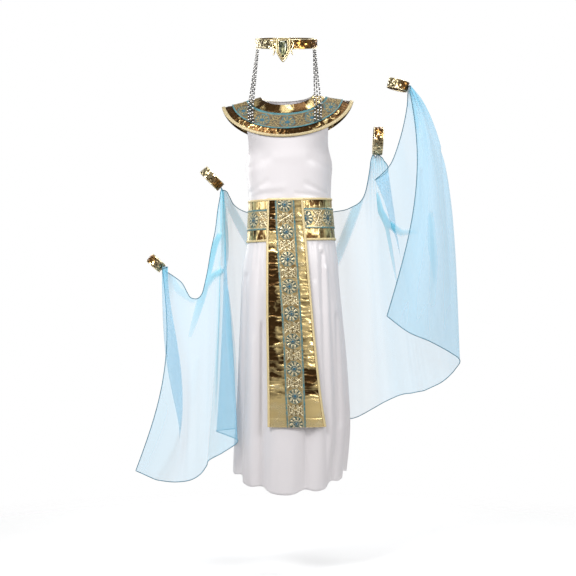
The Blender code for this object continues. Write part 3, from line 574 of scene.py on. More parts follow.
def cloth_piece(name, finish, points, wall, slot, nodes, masks=None, closed=False, lift=0.0):
    """Cloth from the grid of its outer face: lift moves points out, and the rims turn in by the wall."""
    normal = normals_of(points, closed)
    points = points + normal * np.broadcast_to(lift, points.shape[:2])[..., None]
    around = ((1, 1), (0, 0)) if closed else ((1, 1), (1, 1))
    full, inward = (np.pad(grid, (*around, (0, 0)), mode="edge") for grid in (points, normal))
    rim = np.zeros(full.shape[:2])
    rim[[0, -1]] = wall
    if not closed:
        rim[:, [0, -1]] = wall
    full = full - inward * rim[..., None]
    masks = {key: np.pad(value, around, mode="edge") for key, value in (masks or {}).items()}
    faces = grid_faces(*full.shape[:2], closed)
    return make_piece(name, finish, full, faces, slot, nodes, masks, metres_uv(full))


def braid(node, points, finish="binding", upright=False):
    """Braid over an edge: a narrow grid, fuller by half a sine across its width."""
    bulge = BRAID_BULGE * np.sin(np.pi * np.linspace(0, 1, BRAID_LINES))
    return cloth_piece(node + "_braid", finish, points, CLOTH_WALL, "binding", [node],
                       lift=bulge if upright else bulge[:, None])


def ribbon_piece(node, finish, points, pattern, dusk, rise=0.0):
    """Ribbon over a grid, with the height and masks of its brocade, its painted shadows and its own rise and
    fall.
    """
    height, masks = pattern
    return cloth_piece(node + "_brocade", finish, points, TRIM_WALL, "ribbon", [node],
                       {**masks, "dusk": dusk}, lift=height + rise)


def tube(path, radius, sides, closed=False):
    """Tube round a path: circles square to it, turned as little as possible.

    An open tube is capped at both ends.
    """
    path = np.asarray(path, dtype=float)
    if closed:
        along = unit(np.roll(path, -1, axis=0) - np.roll(path, 1, axis=0))
    else:
        along = unit(np.gradient(path, axis=0))
    guide = np.where(np.abs(along[:, 1:2]) < 0.9, [[0.0, 1.0, 0.0]], [[0.0, 0.0, 1.0]])
    side = unit(np.cross(along, guide))
    ahead = np.cross(side, along)
    turn = turns(sides)[None, :, None]
    ring = side[:, None] * np.cos(turn) + ahead[:, None] * np.sin(turn)
    points = path[:, None] + ring * np.broadcast_to(radius, len(path))[:, None, None]
    faces = grid_faces(len(path), sides, True).tolist()
    first = np.arange(sides)
    last = first + (len(path) - 1) * sides
    if closed:
        faces += np.stack([last, first, np.roll(first, -1), np.roll(last, -1)], axis=-1).tolist()
    else:
        faces += [first.tolist(), last[::-1].tolist()]
    return points.reshape(-1, 3), faces


def joined(parts):
    """Several pairs of points and faces as one pair."""
    faces = []
    start = 0
    for points, made in parts:
        faces += [[start + corner for corner in face] for face in made]
        start += len(points)
    return np.concatenate([points for points, _ in parts]), faces


def copies(shape, faces, centres, sizes, frames=np.eye(3)):
    """One small shape set at many centres, each scaled and turned by its own three axes."""
    count = len(centres)
    turned = np.einsum("kj,nji->nki", shape, np.broadcast_to(frames, (count, 3, 3)))
    placed = centres[:, None] + turned * np.broadcast_to(sizes, count)[:, None, None]
    starts = range(0, count * len(shape), len(shape))
    return placed.reshape(-1, 3), [[start + corner for corner in face] for start in starts for face in faces]


def round_bead():
    """Sphere of radius 1: four rings of six points, closed by a small six-sided face at each pole."""
    rise = np.radians([-66, -24, 24, 66])[:, None]
    turn = turns(6)
    flat = np.cos(rise)
    points = np.stack([flat * np.cos(turn), flat * np.sin(turn), np.sin(rise) + 0 * turn], axis=-1)
    faces = [face[::-1] for face in grid_faces(4, 6, True).tolist()]
    return points.reshape(-1, 3), faces + [[5, 4, 3, 2, 1, 0], [18, 19, 20, 21, 22, 23]]


def add_node(tree, kind, inputs=None, **settings):
    """New node of a kind, with settings of its own and inputs that are either values or sockets to link."""
    made = tree.nodes.new("ShaderNode" + kind)
    for key, value in settings.items():
        setattr(made, key, value)
    for key, value in (inputs or {}).items():
        socket = made.inputs[key]
        if isinstance(value, bpy.types.NodeSocket):
            tree.links.new(value, socket)
        elif socket.type == "RGBA":
            socket.default_value = (*value, 1)
        else:
            socket.default_value = value
    return made


def link(tree, inputs, **sockets):
    """Feed inputs from sockets, each input by its name with _ for a space."""
    for key, socket in sockets.items():
        tree.links.new(socket, inputs[key.replace("_", " ")])


def look(name, **values):
    """New material: its tree and its Principled shader, with constant values on the shader's sockets."""
    made = bpy.data.materials.new(name)
    made.use_nodes = True
    tree = made.node_tree
    tree.nodes.clear()
    shader = add_node(tree, "BsdfPrincipled", {key.replace("_", " "): value for key, value in values.items()})
    add_node(tree, "OutputMaterial", {"Surface": shader.outputs["BSDF"]})
    return made, tree, shader


def node_group(name, inputs, outputs):
    """New node group with its named sockets: its tree, what it is given and what it puts out."""
    tree = bpy.data.node_groups.new(name, "ShaderNodeTree")
    for direction, sockets in (("INPUT", inputs), ("OUTPUT", outputs)):
        for socket, kind in sockets.items():
            tree.interface.new_socket(socket, in_out=direction, socket_type="NodeSocket" + kind)
    return tree, tree.nodes.new("NodeGroupInput").outputs, tree.nodes.new("NodeGroupOutput").inputs


def mask(tree, name):
    """Socket that reads a mask of the mesh."""
    return add_node(tree, "Attribute", attribute_name=name).outputs["Fac"]


def mixed(tree, factor, first, second):
    """Socket with two colours mixed by a factor."""
    inputs = {"Factor": factor, "A": first, "B": second}
    return add_node(tree, "Mix", inputs, data_type="RGBA").outputs["Result"]


def mapped(tree, value, **limits):
    """Socket with a value moved from one range to another."""
    ends = {key.replace("_", " "): limit for key, limit in limits.items()}
    return add_node(tree, "MapRange", {"Value": value, **ends}).outputs["Result"]


def crinkle_group():
    """Gold mottled by noise from the Object coordinates and by the painted shade mask: painted shade in dark
    gold, painted highlight in bright gold, with its gloss and a fine crease bump.
    """
    tree, given, out = node_group(
        "crinkled_gold", {"Bright": "Color", "Light": "Color", "Dark": "Color", "Hollow": "Float"},
        {"Color": "Color", "Roughness": "Float", "Normal": "Vector"})
    place = add_node(tree, "TexCoord").outputs["Object"]
    patches = add_node(tree, "TexNoise", {"Vector": place, "Scale": 28, "Detail": 3}).outputs["Fac"]
    fine = add_node(tree, "TexNoise", {"Vector": place, "Scale": 420, "Detail": 2}).outputs["Fac"]
    # Depth is the painted shade with noise: high gives painted shade in the dark gold, low a painted
    # highlight in the bright gold
    depth = add_node(tree, "Math", {0: patches, 1: given["Hollow"]}, operation="ADD").outputs["Value"]
    gold = mixed(tree, mapped(tree, depth, From_Min=0.62, From_Max=1.05), given["Light"], given["Dark"])
    gold = mixed(tree, mapped(tree, depth, From_Min=0.45, From_Max=-0.15), gold, given["Bright"])
    bump = add_node(tree, "Bump", {"Strength": 0.35, "Distance": 0.0006, "Height": fine})
    link(tree, out, Color=gold, Roughness=mapped(tree, patches, To_Min=0.20, To_Max=0.36),
         Normal=bump.outputs["Normal"])
    return tree


def weave_group():
    """Fine weave: the higher of two crossed waves on the UV map in metres, as a bump."""
    tree, given, out = node_group("fine_weave", {"Scale": "Float", "Strength": "Float", "Distance": "Float"},
                                  {"Normal": "Vector"})
    inputs = {"Vector": add_node(tree, "UVMap", uv_map="metres").outputs["UV"], "Scale": given["Scale"]}
    waves = [add_node(tree, "TexWave", inputs, bands_direction=way).outputs["Fac"] for way in ("X", "Y")]
    most = add_node(tree, "Math", dict(enumerate(waves)), operation="MAXIMUM").outputs["Value"]
    inputs = {"Strength": given["Strength"], "Distance": given["Distance"], "Height": most}
    link(tree, out, Normal=add_node(tree, "Bump", inputs).outputs["Normal"])
    return tree


def woven(tree, shader, weave, pitch, strength):
    """Give a material the weave, with threads a pitch apart."""
    inputs = {"Scale": 0.314 / pitch, "Strength": strength, "Distance": pitch * 0.2}
    link(tree, shader.inputs, Normal=add_node(tree, "Group", inputs, node_tree=weave).outputs["Normal"])


def woven_look(name, weave, pitch, strength, **values):
    """New material with the weave on it, such as satin or a braid that is ribbed across."""
    made, tree, shader = look(name, **values)
    woven(tree, shader, weave, pitch, strength)
    return made


def lame_look(colours):
    """Gold lame: metallic, with painted shade in its hollows and at listed places, painted highlights, and
    fine creases.
    """
    made, tree, shader = look("lame", Metallic=0.85)
    inputs = {"Bright": colours.lame_painted_highlight, "Light": colours.lame_light, "Dark": colours.lame_dark,
              "Hollow": mask(tree, "hollow")}
    gold = add_node(tree, "Group", inputs, node_tree=crinkle_group()).outputs
    link(tree, shader.inputs, Base_Color=gold["Color"], Roughness=gold["Roughness"], Normal=gold["Normal"])
    return made


def ribbon_look(name, ground, thread, metal, roughness, colours, weave):
    """Brocade ribbon: its ground, painted shadows, dark gaps, gold thread, teal lines and stars by its masks.
    """
    made, tree, shader = look(name, Roughness=roughness, Specular_IOR_Level=0.3)
    base = ground
    for key, tone in (("dusk", colours.ribbon_shadow), ("gap", colours.ribbon_gap), ("thread", thread),
                      ("teal", colours.teal), ("star", colours.star)):
        base = mixed(tree, mask(tree, key), base, tone)
    metallic = mapped(tree, mask(tree, "silk"), To_Min=metal, To_Max=0.05)
    link(tree, shader.inputs, Base_Color=base, Metallic=metallic)
    woven(tree, shader, weave, 0.0007, 0.25)
    return made


def chiffon_look(colours, weave):
    """Sheer chiffon: thin colour and alpha, both denser where the folded mask says that folds lie."""
    made, tree, shader = look("chiffon", Roughness=0.6, Specular_IOR_Level=0.2)
    folded = mask(tree, "folded")
    link(tree, shader.inputs, Base_Color=mixed(tree, folded, colours.chiffon, colours.chiffon_fold),
         Alpha=mapped(tree, folded, To_Min=0.22, To_Max=0.80))
    woven(tree, shader, weave, 0.0010, 0.15)
    return made


def stone_look(colours):
    """Cut glass: each facet painted at random between near black and a light green painted reflection, under
    a clear gloss.
    """
    made, tree, shader = look("stone", Roughness=0.04, Specular_IOR_Level=0.9)
    link(tree, shader.inputs, Base_Color=mixed(tree, mask(tree, "facet"), colours.stone, colours.stone_painted_reflection))
    return made


def sequin_look(colours):
    """Sequins: polished metal, pale gold turning to a painted amber shade round the band, with painted dark
    reflections on some between.
    """
    made, tree, shader = look("sequin", Metallic=1.0, Roughness=0.16)
    base = mixed(tree, mask(tree, "amber"), colours.sequin, colours.sequin_amber_shade)
    link(tree, shader.inputs, Base_Color=mixed(tree, mask(tree, "tint"), base, colours.sequin_dark_reflection))
    return made


def floor_look():
    """Pale matt floor that fades out with the distance from its middle."""
    made, tree, shader = look("stage_pale", Base_Color=(0.84, 0.84, 0.84), Roughness=0.9)
    place = add_node(tree, "TexCoord").outputs["Object"]
    distance = add_node(tree, "VectorMath", {0: place}, operation="LENGTH").outputs["Value"]
    fade = mapped(tree, distance, From_Min=1.25, From_Max=1.9, To_Min=1.0, To_Max=0.0)
    link(tree, shader.inputs, Alpha=fade)
    return made


LOOKS = {}


def begin(scene):
    """The sizes, once all the materials are made from the colours."""
    if LOOKS:
        return scene.queen_sizes
    colours = scene.queen_colours
    weave = weave_group()
    braids = {name: woven_look(name, weave, 0.0016, 0.6, Base_Color=tone, Roughness=0.42, Metallic=0.25)
              for name, tone in (("binding", colours.binding), ("collar_binding", colours.collar_binding))}
    LOOKS.update(
        satin=woven_look("satin", weave, 0.0008, 0.08, Base_Color=colours.satin, Roughness=0.33,
                         Specular_IOR_Level=0.6, Sheen_Weight=0.25, Sheen_Roughness=0.4, Anisotropic=0.5),
        lame=lame_look(colours),
        ribbon=ribbon_look("ribbon", colours.ribbon_ground, colours.thread, 0.70, 0.34, colours, weave),
        # The collar's ribbon, in colours darkened by painted shade
        ribbon_dark=ribbon_look("ribbon_dark", colours.collar_ground_painted_shade, colours.collar_thread_painted_shade, 0.15, 0.55,
                                colours, weave),
        chiffon=chiffon_look(colours, weave),
        rolled=look("rolled_edge", Base_Color=colours.rolled_edge, Roughness=0.6)[0],
        sequin=sequin_look(colours),
        backing=look("sequin_backing", Base_Color=colours.lame_dark, Roughness=0.6, Metallic=0.3)[0],
        gold=look("setting", Base_Color=colours.setting, Roughness=0.27, Metallic=1.0)[0],
        stone=stone_look(colours),
        silver=look("silver_bead", Base_Color=colours.silver_bead, Roughness=0.18, Metallic=0.9)[0],
        dark=look("dark_bead", Base_Color=colours.dark_bead, Roughness=0.25)[0],
        floor=floor_look(),
        **braids,
    )
    return scene.queen_sizes


def body_grid(first, last, level, angle, distance):
    """Smooth surface through the rings from first to last, at levels and angles, moved out."""
    rings = np.stack([ring_points(section, angle) for section in SECTIONS[first:last + 1]])
    points = smooth_rows(rings, level - first)
    return points + normals_of(points) * distance


def distance_to_path(points, path):
    """Least distance in x and z from points to a line, and how far along it that is, 0 to 1."""
    x, z = points[..., 0], points[..., 2]
    best = np.full(x.shape, np.inf)
    way = np.zeros(x.shape)
    for number, ((x0, z0), (x1, z1)) in enumerate(zip(path[:-1], path[1:])):
        dx, dz = x1 - x0, z1 - z0
        share = np.clip(((x - x0) * dx + (z - z0) * dz) / (dx ** 2 + dz ** 2), 0, 1)
        away = np.hypot(x - x0 - share * dx, z - z0 - share * dz)
        way = np.where(away < best, (number + share) / (len(path) - 1), way)
        best = np.minimum(best, away)
    return best, way


def crease_lift(points, creases):
    """Sum of soft troughs and ridges, each a bell of the distance to its line, wider towards its end."""
    lift = np.zeros(points.shape[:2])
    for crease in creases:
        away, way = distance_to_path(points, ((crease.x0, crease.z0), (crease.x1, crease.z1)))
        lift += crease.height * np.exp(-(away / (crease.width * (0.7 + 0.6 * way))) ** 2)
    return lift


def length(name, default, description):
    """Length property in metres."""
    return bpy.props.FloatProperty(name=name, description=description, default=default, min=0, precision=4,
                                   subtype="DISTANCE", unit="LENGTH")


class QueenSizes(bpy.types.PropertyGroup):
    """Sizes of the layers, in metres"""
    satin_out: length("Satin", 0.0015, "How far the satin lies outside the rings of the body")
    lame_out: length("Collar cloth", 0.0033, "How far the collar's gold cloth lies outside the rings")
    collar_trim_out: length("Collar trim", 0.0047, "How far the collar's ribbon and braid lie outside")
    belt_out: length("Belt cloth", 0.0030, "How far the belt's gold cloth lies outside the rings")
    belt_trim_out: length("Belt trim", 0.0042, "How far the belt's ribbon and braid lie outside the rings")
    panel_out: length("Panel cloth", 0.0060, "How far the panel's gold cloth lies outside its rows")
    panel_trim_out: length("Panel trim", 0.0076, "How far the panel's ribbon and braid lie outside its rows")
    binding: length("Binding width", 0.0055, "Width of the bindings of the belt and the panel")
    rolled_radius: length("Rolled edge", 0.0010, "Radius of the drape's rolled edge")
    bead_radius: length("Bead", 0.0027, "Radius of a silver bead")
    sequin_radius: length("Sequin", 0.0022, "Radius of a sequin")


def colour(name, default, description):
    """Colour property."""
    return bpy.props.FloatVectorProperty(name=name, description=description, subtype="COLOR", default=default,
                                         min=0, max=1)


class QueenColours(bpy.types.PropertyGroup):
    """Colours of the cloth, trims and jewels"""
    satin: colour("Satin", (0.645, 0.615, 0.625), "White satin of the dress")
    lame_light: colour("Gold", (0.79, 0.60, 0.27), "Gold cloth where it lies smooth")
    # Bright gold: a painted highlight on the ridges of the gold cloth and at its bright listed places
    lame_painted_highlight: colour("Bright gold", (0.97, 0.86, 0.56), "Gold cloth on its ridges")
    # Dark gold: painted shade in the hollows of the gold cloth and painted dark reflections at its listed
    # places; the sequin backing has it as its own colour
    lame_dark: colour("Dark gold", (0.060, 0.028, 0.006), "Gold cloth in its hollows")
    binding: colour("Binding", (0.62, 0.50, 0.26), "Light gold braid on the edges of belt and panel")
    # Collar binding: the binding's gold darkened by painted shade
    collar_binding: colour("Collar binding", (0.37, 0.30, 0.165), "Gold braid on the edge of the collar")
    ribbon_ground: colour("Ribbon ground", (0.50, 0.37, 0.17), "Ground of the ribbon on belt and panel")
    # Collar ribbon ground: the ribbon's ground darkened by painted shade
    collar_ground_painted_shade: colour("Collar ribbon ground", (0.035, 0.035, 0.028), "Ground of the ribbon on the collar")
    # Ribbon shadow: a painted shadow, laid in patches of noise
    ribbon_shadow: colour("Ribbon shadow", (0.22, 0.12, 0.03), "Ribbon where it lies low")
    ribbon_gap: colour("Ribbon gap", (0.055, 0.050, 0.025), "Dark threads between the gold ones")
    thread: colour("Gold thread", (0.72, 0.63, 0.41), "Raised gold thread of the ribbon")
    # Collar thread: the gold thread darkened by painted shade
    collar_thread_painted_shade: colour("Collar thread", (0.26, 0.19, 0.075), "Raised gold thread of the collar's ribbon")
    star: colour("Flower", (0.010, 0.10, 0.16), "Blue heart of the ribbon's flowers")
    teal: colour("Teal line", (0.040, 0.17, 0.20), "Lines and petals of the ribbon")
    chiffon: colour("Chiffon", (0.30, 0.58, 0.78), "Single layer of the drape")
    chiffon_fold: colour("Folded chiffon", (0.12, 0.48, 0.64), "Drape where it is gathered or folded")
    rolled_edge: colour("Rolled edge", (0.05, 0.17, 0.24), "Dark blue edge of the drape")
    sequin: colour("Sequin", (0.78, 0.67, 0.40), "Pale gold sequins")
    # Amber sequin: painted shade on the side of a band away from the light
    sequin_amber_shade: colour("Amber sequin", (0.50, 0.24, 0.06), "Sequins on the side away from the light")
    # Dark sequin: a painted dark reflection, as of sequins tipped into the dark
    sequin_dark_reflection: colour("Dark sequin", (0.07, 0.04, 0.012), "Sequins tipped into the dark")
    setting: colour("Setting", (0.86, 0.74, 0.46), "Metal of the setting, the scrolls and the bands' edges")
    stone: colour("Stone", (0.004, 0.012, 0.007), "Dark facets of the stone")
    # Light stone: a painted reflection on some facets
    stone_painted_reflection: colour("Light stone", (0.50, 0.50, 0.26), "Light facets of the stone")
    silver_bead: colour("Silver bead", (0.50, 0.49, 0.47), "Larger beads of the strings")
    dark_bead: colour("Dark bead", (0.02, 0.02, 0.02), "Smaller beads and the thread of the strings")


class QUEEN_OT_dress(bpy.types.Operator):
    """Satin dress: the front and two back pieces, with folds and creases"""
    bl_idname = "queen.dress"
    bl_label = "Dress"

    def execute(self, context):
        sizes = begin(context.scene)
        level = np.linspace(0, len(SECTIONS) - 1, 230)
        for name, start, end, behind, columns, creases, flat, area in (
                ("dress_front", -1, 1, 0, 150, FRONT_CREASES, (0.62, 0.98), 0.33),
                ("dress_back_left", -1, 0, 180, 75, BACK_CREASES, (0.32, 0.96), 0.16),
                ("dress_back_right", 0, 1, 180, 75, BACK_CREASES, (0.32, 0.96), 0.16)):
            share = np.linspace(start, end, columns)
            rings = []
            for section in SECTIONS:
                inset = math.degrees(SEAM_GAP / section.half_width)
                low, high = start * section.reach + inset, end * section.reach - inset
                angle = np.clip(share * section.reach, low, high)
                rings.append(ring_points(section, angle + behind))
            points = smooth_rows(rings, level)
            points = points + normals_of(points) * sizes.satin_out
            piece = cloth_piece(name + "_satin", "satin", points, SATIN_WALL, "satin", [name],
                                lift=crease_lift(points, creases))
        return {"FINISHED"}


class QUEEN_OT_collar(bpy.types.Operator):
    """Collar: crinkled lame, neck band, brocade ribbon and edge binding"""
    bl_idname = "queen.collar"
    bl_label = "Collar"

    def execute(self, context):
        sizes = begin(context.scene)
        edge = ROW["collar_edge"]
        level = np.linspace(0, edge, 70)
        for name, start, end, flat, area, under in (
                ("collar_front", -90, 90, (0.42, 0.12), 0.036, ["dress_front_satin"]),
                ("collar_back_left", 90, 180, (0.21, 0.12), 0.018, []),
                ("collar_back_right", -180, -90, (0.21, 0.12), 0.018, [])):
            angle = np.linspace(start + 0.15, end - 0.15, (end - start) * 3 // 2)
            points = body_grid(0, edge, level, angle, sizes.lame_out)
            height = puckers(0.204 * np.radians(angle), 0.045 * level[:, None], 3)
            # Painted shade in the hollows of the puckers, with the painted dark reflections and shade of
            # COLLAR_SHADES
            piece = cloth_piece(name + "_lame", "lame", points, CLOTH_WALL, "lame", [name],
                                {"hollow": 0.85 - 1.25 * height + shade_sum(points, COLLAR_SHADES)},
                                lift=0.0016 * (height - 0.7))
        angle = np.linspace(-179.8, 179.8, 640)
        level = np.linspace(0.02, 0.97, 22)
        points = body_grid(0, edge, level, angle, sizes.collar_trim_out)
        pleat = ridged(np.radians(angle) * 0.075 / 0.011 + 0.3 * level[:, None], 0.8 * level[:, None], 11)
        # Painted shade in the hollows of the pleats, a painted highlight on their ridges, and the painted
        # reflections of NECK_SHADES
        band = cloth_piece("collar_neck_band_pleated", "lame", points, TRIM_WALL, "binding",
                           ["collar_neck_band"],
                           {"hollow": 0.68 - 0.55 * pleat + shade_sum(points, NECK_SHADES)},
                           lift=0.0010 * (pleat - 0.9))
        turn = np.linspace(-179.8, 179.8, 900)
        points = body_grid(0, edge, np.linspace(1.0, 4.0, 50), turn, sizes.collar_trim_out)
        along = running_length(points[25])
        along = along - np.interp(0, turn, along)
        across = np.linspace(-0.0215, 0.0215, 50)[:, None]
        # The collar's ribbon in colours darkened by painted shade, with a painted shadow in patches of noise
        ribbon = ribbon_piece("collar_ribbon", "ribbon_dark", points, brocade(across, along, 0.064, 0.043),
                              0.5 * value_noise(along / 0.006, across / 0.006, 21))
        points = body_grid(0, edge, np.linspace(5.1, 6.0, BRAID_LINES), angle, sizes.collar_trim_out)
        # The collar's braid takes the binding gold darkened by painted shade
        binding = braid("collar_binding", points, "collar_binding")
        return {"FINISHED"}


class QUEEN_OT_belt(bpy.types.Operator):
    """Belt: crinkled lame, brocade ribbon and two bindings"""
    bl_idname = "queen.belt"
    bl_label = "Belt"

    def execute(self, context):
        sizes = begin(context.scene)

        def strip(low, high, rows, turn, distance):
            """Strip of the belt between two depths below its top, with a ring at each half of its depth."""
            level = ROW["belt_top"] + np.linspace(low, high, rows) / (BELT_DEPTH / 2)
            return body_grid(ROW["ribs"], ROW["hip"], level, turn, distance)

        angle = np.linspace(-179.85, 179.85, 560)
        points = strip(0, BELT_DEPTH, 60, angle, sizes.belt_out)
        height = puckers(np.radians(angle) * 0.095, np.linspace(0, BELT_DEPTH, 60)[:, None], 7)
        # Painted shade in the hollows of the puckers, with the painted reflections of BELT_SHADES
        hollow = 0.72 - height + shade_sum(points, BELT_SHADES)
        piece = cloth_piece("belt_lame", "lame", points, CLOTH_WALL, "lame", ["belt"], {"hollow": hollow},
                            lift=0.0013 * (height - 0.8))
        turn = np.linspace(-179.8, 179.8, 860)
        points = strip(*BELT_RIBBON, 60, turn, sizes.belt_trim_out)
        along = np.radians(turn) * 0.0965
        across = np.linspace(-0.0255, 0.0255, 60)[:, None]
        # Painted shadow on the belt's ribbon, in patches of noise
        ribbon = ribbon_piece("belt_ribbon", "ribbon", points, brocade(across, along - 0.0335, 0.0665, 0.051),
                              0.8 * value_noise(along / 0.012, across / 0.015, 31) ** 2)
        wide = sizes.binding
        edges = [braid(name, strip(low, low + wide, BRAID_LINES, angle, sizes.belt_trim_out))
                 for name, low in (("belt_binding_top", 0.0), ("belt_binding_bottom", BELT_DEPTH - wide))]
        return {"FINISHED"}


class QUEEN_OT_panel(bpy.types.Operator):
    """Front panel: puckered lame with a plain hem, brocade ribbon and bindings"""
    bl_idname = "queen.panel"
    bl_label = "Front panel"

    def grid(self, left, right, z, columns, distance):
        """Points between two x values at each height, on the skirt's outer curve, moved out."""
        rings = SECTIONS[ROW["belt_top"]:]
        heights = [-ring.z_front for ring in rings]
        centre_x, half_width, half_depth, fold = (
            np.interp(-z, heights, [getattr(ring, name) for ring in rings])[:, None]
            for name in ("centre_x", "half_width", "half_depth", "fold"))
        out = distance + 1.2 * fold
        share = np.linspace(0, 1, columns)
        across = left[:, None] * (1 - share) + right[:, None] * share
        depth = -(half_depth + out) * np.sqrt(1 - ((across - centre_x) / (half_width + out)) ** 2)
        return np.stack([across, depth, z[:, None] + 0 * across], axis=-1)

    def execute(self, context):
        sizes = begin(context.scene)

        def sides(z, first="left", second="right"):
            """Two columns of the panel's table at heights z."""
            heights = [-row.z for row in PANEL_ROWS]
            return [np.interp(-z, heights, [getattr(row, name) for row in PANEL_ROWS])
                    for name in (first, second)]

        z = np.linspace(PANEL_TOP, PANEL_HEM, 420)
        points = self.grid(*sides(z), z, 70, sizes.panel_out)
        across = points[..., 0]
        down = PANEL_TOP - z[:, None]
        height = puckers(down, across, 1)
        flat = np.clip((down - PANEL_TURN_UP) / 0.02, 0, 1)
        height = height * (1 - flat) + (0.72 + 0.1 * value_noise(down / 0.01, across / 0.03, 4)) * flat
        # Painted shade in the hollows of the puckers, a painted highlight over the flat hem, and the painted
        # reflections of PANEL_SHADES
        hollow = 0.75 - 0.95 * height - 0.14 * flat + shade_sum(points, PANEL_SHADES)
        stitching = np.exp(-((down - PANEL_STITCHES) / 0.0012) ** 2)
        piece = cloth_piece("panel_lame", "lame", points, CLOTH_WALL, "lame", ["panel"], {"hollow": hollow},
                            lift=0.0022 * (height - 0.75) * (1 - 0.5 * flat) - 0.0005 * stitching)
        z = np.linspace(PANEL_TRIM_TOP, PANEL_HEM, 690)
        points = self.grid(*sides(z, "ribbon_left", "ribbon_right"), z, 62, sizes.panel_trim_out)
        across = np.linspace(-0.025, 0.025, 62)
        along = -(z[:, None] + 0.2655)
        # Painted shadow on the panel's ribbon, in patches of noise
        ribbon = ribbon_piece("panel_ribbon", "ribbon", points, brocade(across, along, 0.0668, 0.050),
                              0.8 * value_noise(along / 0.010, across / 0.012, 41) ** 2,
                              0.0011 * (puckers(along, across, 43) - 0.6))
        z = np.linspace(PANEL_TRIM_TOP, PANEL_HEM, 300)
        left, right = sides(z)
        wide = sizes.binding
        edges = [braid(name, self.grid(*ends, z, BRAID_LINES, sizes.panel_trim_out), upright=True)
                 for name, *ends in (("panel_binding_right", left, left + wide),
                                     ("panel_binding_left", right - wide, right))]
        z = np.linspace(PANEL_TOP, PANEL_TOP - wide, BRAID_LINES)
        edges.append(braid("panel_binding_top", self.grid(*sides(z), z, 60, sizes.panel_trim_out)))
        return {"FINISHED"}


class QUEEN_OT_drape(bpy.types.Operator):
    """Sheer drape with its gathers, folds and rolled edge"""
    bl_idname = "queen.drape"
    bl_label = "Drape"

    def execute(self, context):
        sizes = begin(context.scene)
        lines = np.array([line[1:] for line in DRAPE_LINES])
        position = np.linspace(0, len(lines) - 1, 456)
        fine = smooth_rows(lines, position)
        top, hem, bow, bow_y, peak = fine[:, 0:3], fine[:, 3:6], fine[:, 7], fine[:, 8], fine[:, 9]
        down = np.linspace(0, 1, 112)[:, None]
        swing = np.sin(np.pi * down ** (np.log(0.5) / np.log(peak)))
        points = top + (hem - top) * down[..., None]
        points[..., 0] += bow * swing
        ripple = np.sin(RIPPLE_TURN * position) * RIPPLE_HEIGHT
        points[..., 1] += bow_y * swing + ripple * np.minimum(down * 2, 1)
        gather = np.interp(position, np.arange(len(lines)), lines[:, 6])
        pleat = np.sin(2 * np.pi * PLEATS * position)
        lift = 0.0011 * pleat * gather * np.exp(-down / 0.22)
        lift += 0.0030 * (value_noise(position * 1.1, down * 1.6, 51) - 0.5) * np.minimum(down * 4, 1)
        own = np.interp(position, *np.array(DRAPE_DENSITY).T)
        crinkle = value_noise(position * 1.4, down * 2, 52) + value_noise(position * 3, down * 2.5, 53) - 1
        density = np.maximum(own + 0.06 * crinkle, (0.75 + 0.25 * pleat) * gather * np.exp(-down / 0.14))
        for fold in DRAPE_FOLDS:
            within = (position >= fold.first) & (position <= fold.last)
            away, way = distance_to_path(points, fold.points)
            bell = np.exp(-(away / (fold.width * (0.45 + 2.2 * way * (1 - way)))) ** 2) * within
            lift += fold.height * bell * (1 - way ** 4)
            density = np.maximum(density, fold.density * soft_step(bell - 0.42, 0.28) * (1 - 0.6 * way ** 3))
        points = points + normals_of(points) * lift[..., None]
        faces = grid_faces(*points.shape[:2], False)
        nodes = ["drape_right", "drape_back", "drape_left"]
        piece = make_piece("drape_chiffon", "chiffon", points, faces, "chiffon", nodes, {"folded": density},
                           metres_uv(points))
        edge = np.concatenate([points[0], points[1:, -1], points[-1, -2::-1], points[-2:0:-1, 0]])
        rolled = make_piece("drape_rolled_edge", "rolled", *tube(edge, sizes.rolled_radius, 6, closed=True),
                            "chiffon")
        return {"FINISHED"}


